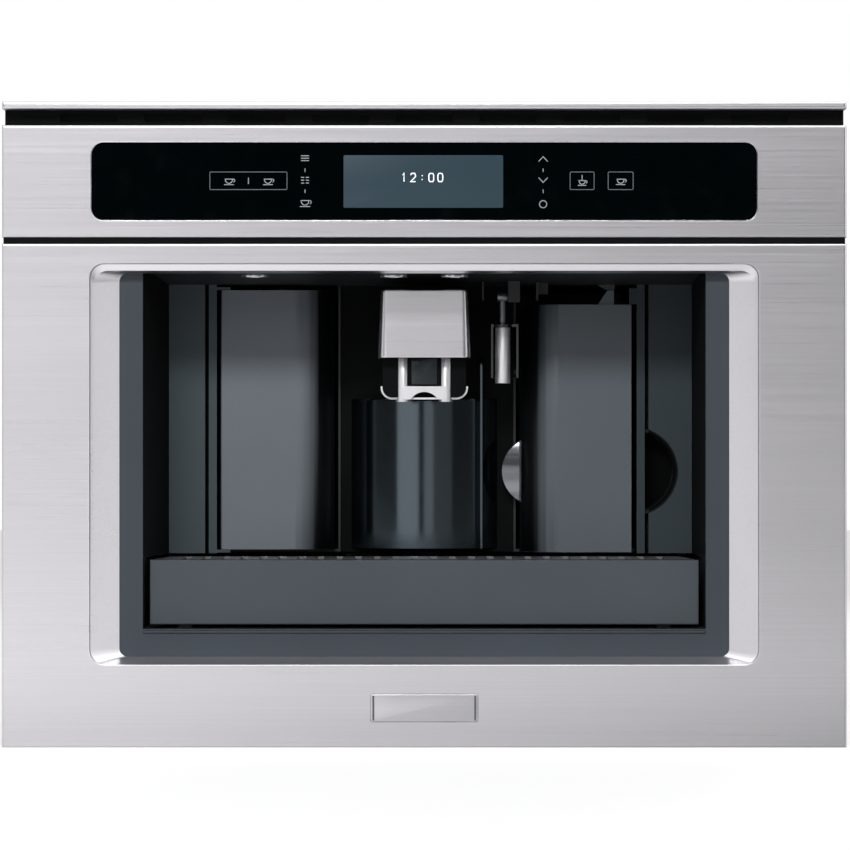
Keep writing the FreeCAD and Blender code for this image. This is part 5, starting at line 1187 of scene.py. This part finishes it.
def floor_finish():
    """Pale floor that keeps the machine's shadow and shows white to the camera; to shiny surfaces it shows a
    painted glow, brighter on the left.
    """
    made, tree, shader = new_material("studio_floor", Roughness=0.6)
    paper = noise(tree, stretched(tree, EVEN), 6.0, 3.0)
    dark, pale = ((shade, shade, shade, 1.0) for shade in FLOOR_SHADES)
    link(tree, blended(tree, paper, dark, pale), shader.inputs["Base Color"])
    light = node(tree, "ShaderNodeLightPath")
    glow = node(tree, "ShaderNodeEmission")
    place = position(tree)
    mirrored = indirect(tree, light)
    seen = maths(tree, "MULTIPLY", light.outputs["Is Camera Ray"], FLOOR_SEEN)
    # painted reflection: glow that only shiny surfaces see, graded across and along the floor
    uneven = maths(tree, "MULTIPLY", mirrored, spread(tree, place["X"], *MIRROR_ACROSS))
    uneven = maths(tree, "MULTIPLY", uneven, spread(tree, place["Y"], *MIRROR_FAR))
    near = maths(tree, "MULTIPLY", mirrored, spread(tree, place["Y"], *MIRROR_NEAR))
    near = maths(tree, "MULTIPLY", near, spread(tree, place["Y"], *MIRROR_FOOT))
    uneven = maths(tree, "ADD", uneven, near)
    link(tree, maths(tree, "ADD", seen, uneven), glow.inputs["Strength"])
    both = node(tree, "ShaderNodeAddShader")
    link(tree, shader.outputs[0], both.inputs[0])
    link(tree, glow.outputs[0], both.inputs[1])
    link(tree, both.outputs[0], tree.nodes["Material Output"].inputs["Surface"])
    return made


def build_floor():
    bm = bmesh.new()
    bmesh.ops.create_grid(bm, x_segments=8, y_segments=8, size=FLOOR_REACH)
    mesh = bpy.data.meshes.new("studio_floor")
    bm.to_mesh(mesh)
    bm.free()
    found = bpy.data.objects.new("studio_floor", mesh)
    bpy.context.scene.collection.objects.link(found)
    mesh.materials.append(floor_finish())


def build_world():
    """White behind the machine, a mid grey room behind the camera."""
    world = bpy.data.worlds.new("studio")
    bpy.context.scene.world = world
    world.use_nodes = True
    tree = world.node_tree
    back = tree.nodes["Background"]
    light = node(tree, "ShaderNodeLightPath")
    place = node(tree, "ShaderNodeTexCoord")
    parts = node(tree, "ShaderNodeSeparateXYZ")
    link(tree, place.outputs["Generated"], parts.inputs[0])
    side = spread(tree, parts.outputs["X"], *SIDE_SPAN, *SIDE_LEVELS)
    rising = spread(tree, parts.outputs["Y"], *FRONT_SPAN, ROOM_LEVEL, side)
    falling = spread(tree, parts.outputs["Y"], *BACK_FALL)
    room = maths(tree, "MULTIPLY", rising, falling)
    seen = indirect(tree, light)
    plain = maths(tree, "MULTIPLY", maths(tree, "SUBTRACT", 1.0, seen), ROOM_LEVEL)
    mirrored = maths(tree, "MULTIPLY", room, seen)
    level = maths(tree, "ADD", plain, mirrored)
    level = maths(tree, "MAXIMUM", level, light.outputs["Is Camera Ray"])
    link(tree, level, back.inputs["Strength"])
    back.inputs["Color"].default_value = (1.0, 1.0, 1.0, 1.0)


def softbox(name, place, aim, width, height, power):
    """Rectangular lamp at a place, turned towards its aim."""
    light = bpy.data.lights.new(name, "AREA")
    light.shape = "RECTANGLE"
    light.size = width
    light.size_y = height
    light.energy = power
    found = bpy.data.objects.new(name, light)
    bpy.context.scene.collection.objects.link(found)
    found.location = place
    way = Vector(aim) - Vector(place)
    found.rotation_euler = way.to_track_quat("-Z", "Y").to_euler()


def build_camera():
    """Square on to the front, at the photograph's height and distance."""
    data = bpy.data.cameras.new("front_view")
    data.sensor_width = SENSOR
    data.lens = data.sensor_width * CAMERA_BACK / CAMERA_FIELD
    data.clip_end = 50.0
    found = bpy.data.objects.new("front_view", data)
    bpy.context.scene.collection.objects.link(found)
    found.location = (CAMERA_X, PANEL_Y - CAMERA_BACK, CAMERA_Z)
    found.rotation_euler = (math.radians(90), 0.0, 0.0)
    bpy.context.scene.camera = found


build_floor()
build_world()
softbox("key_high", (-0.4, -2.45, 1.8), (0.0, -0.15, 0.24), 1.3, 0.42, 38.0)
for name, x, y, z, width, height, power in FRONT_BOXES:
    softbox(name, (x, y, z), (x, 0.0, z), width, height, power)
softbox("top_strip", (0.0, -0.42, 1.3), (0.0, -0.18, 0.4), 1.4, 0.3, 3.5)
softbox("rear_soft", (0.4, 1.8, 1.3), (0.0, 0.1, 0.3), 1.4, 1.0, 12.0)
build_camera()
bpy.context.scene.view_settings.view_transform = "Standard"
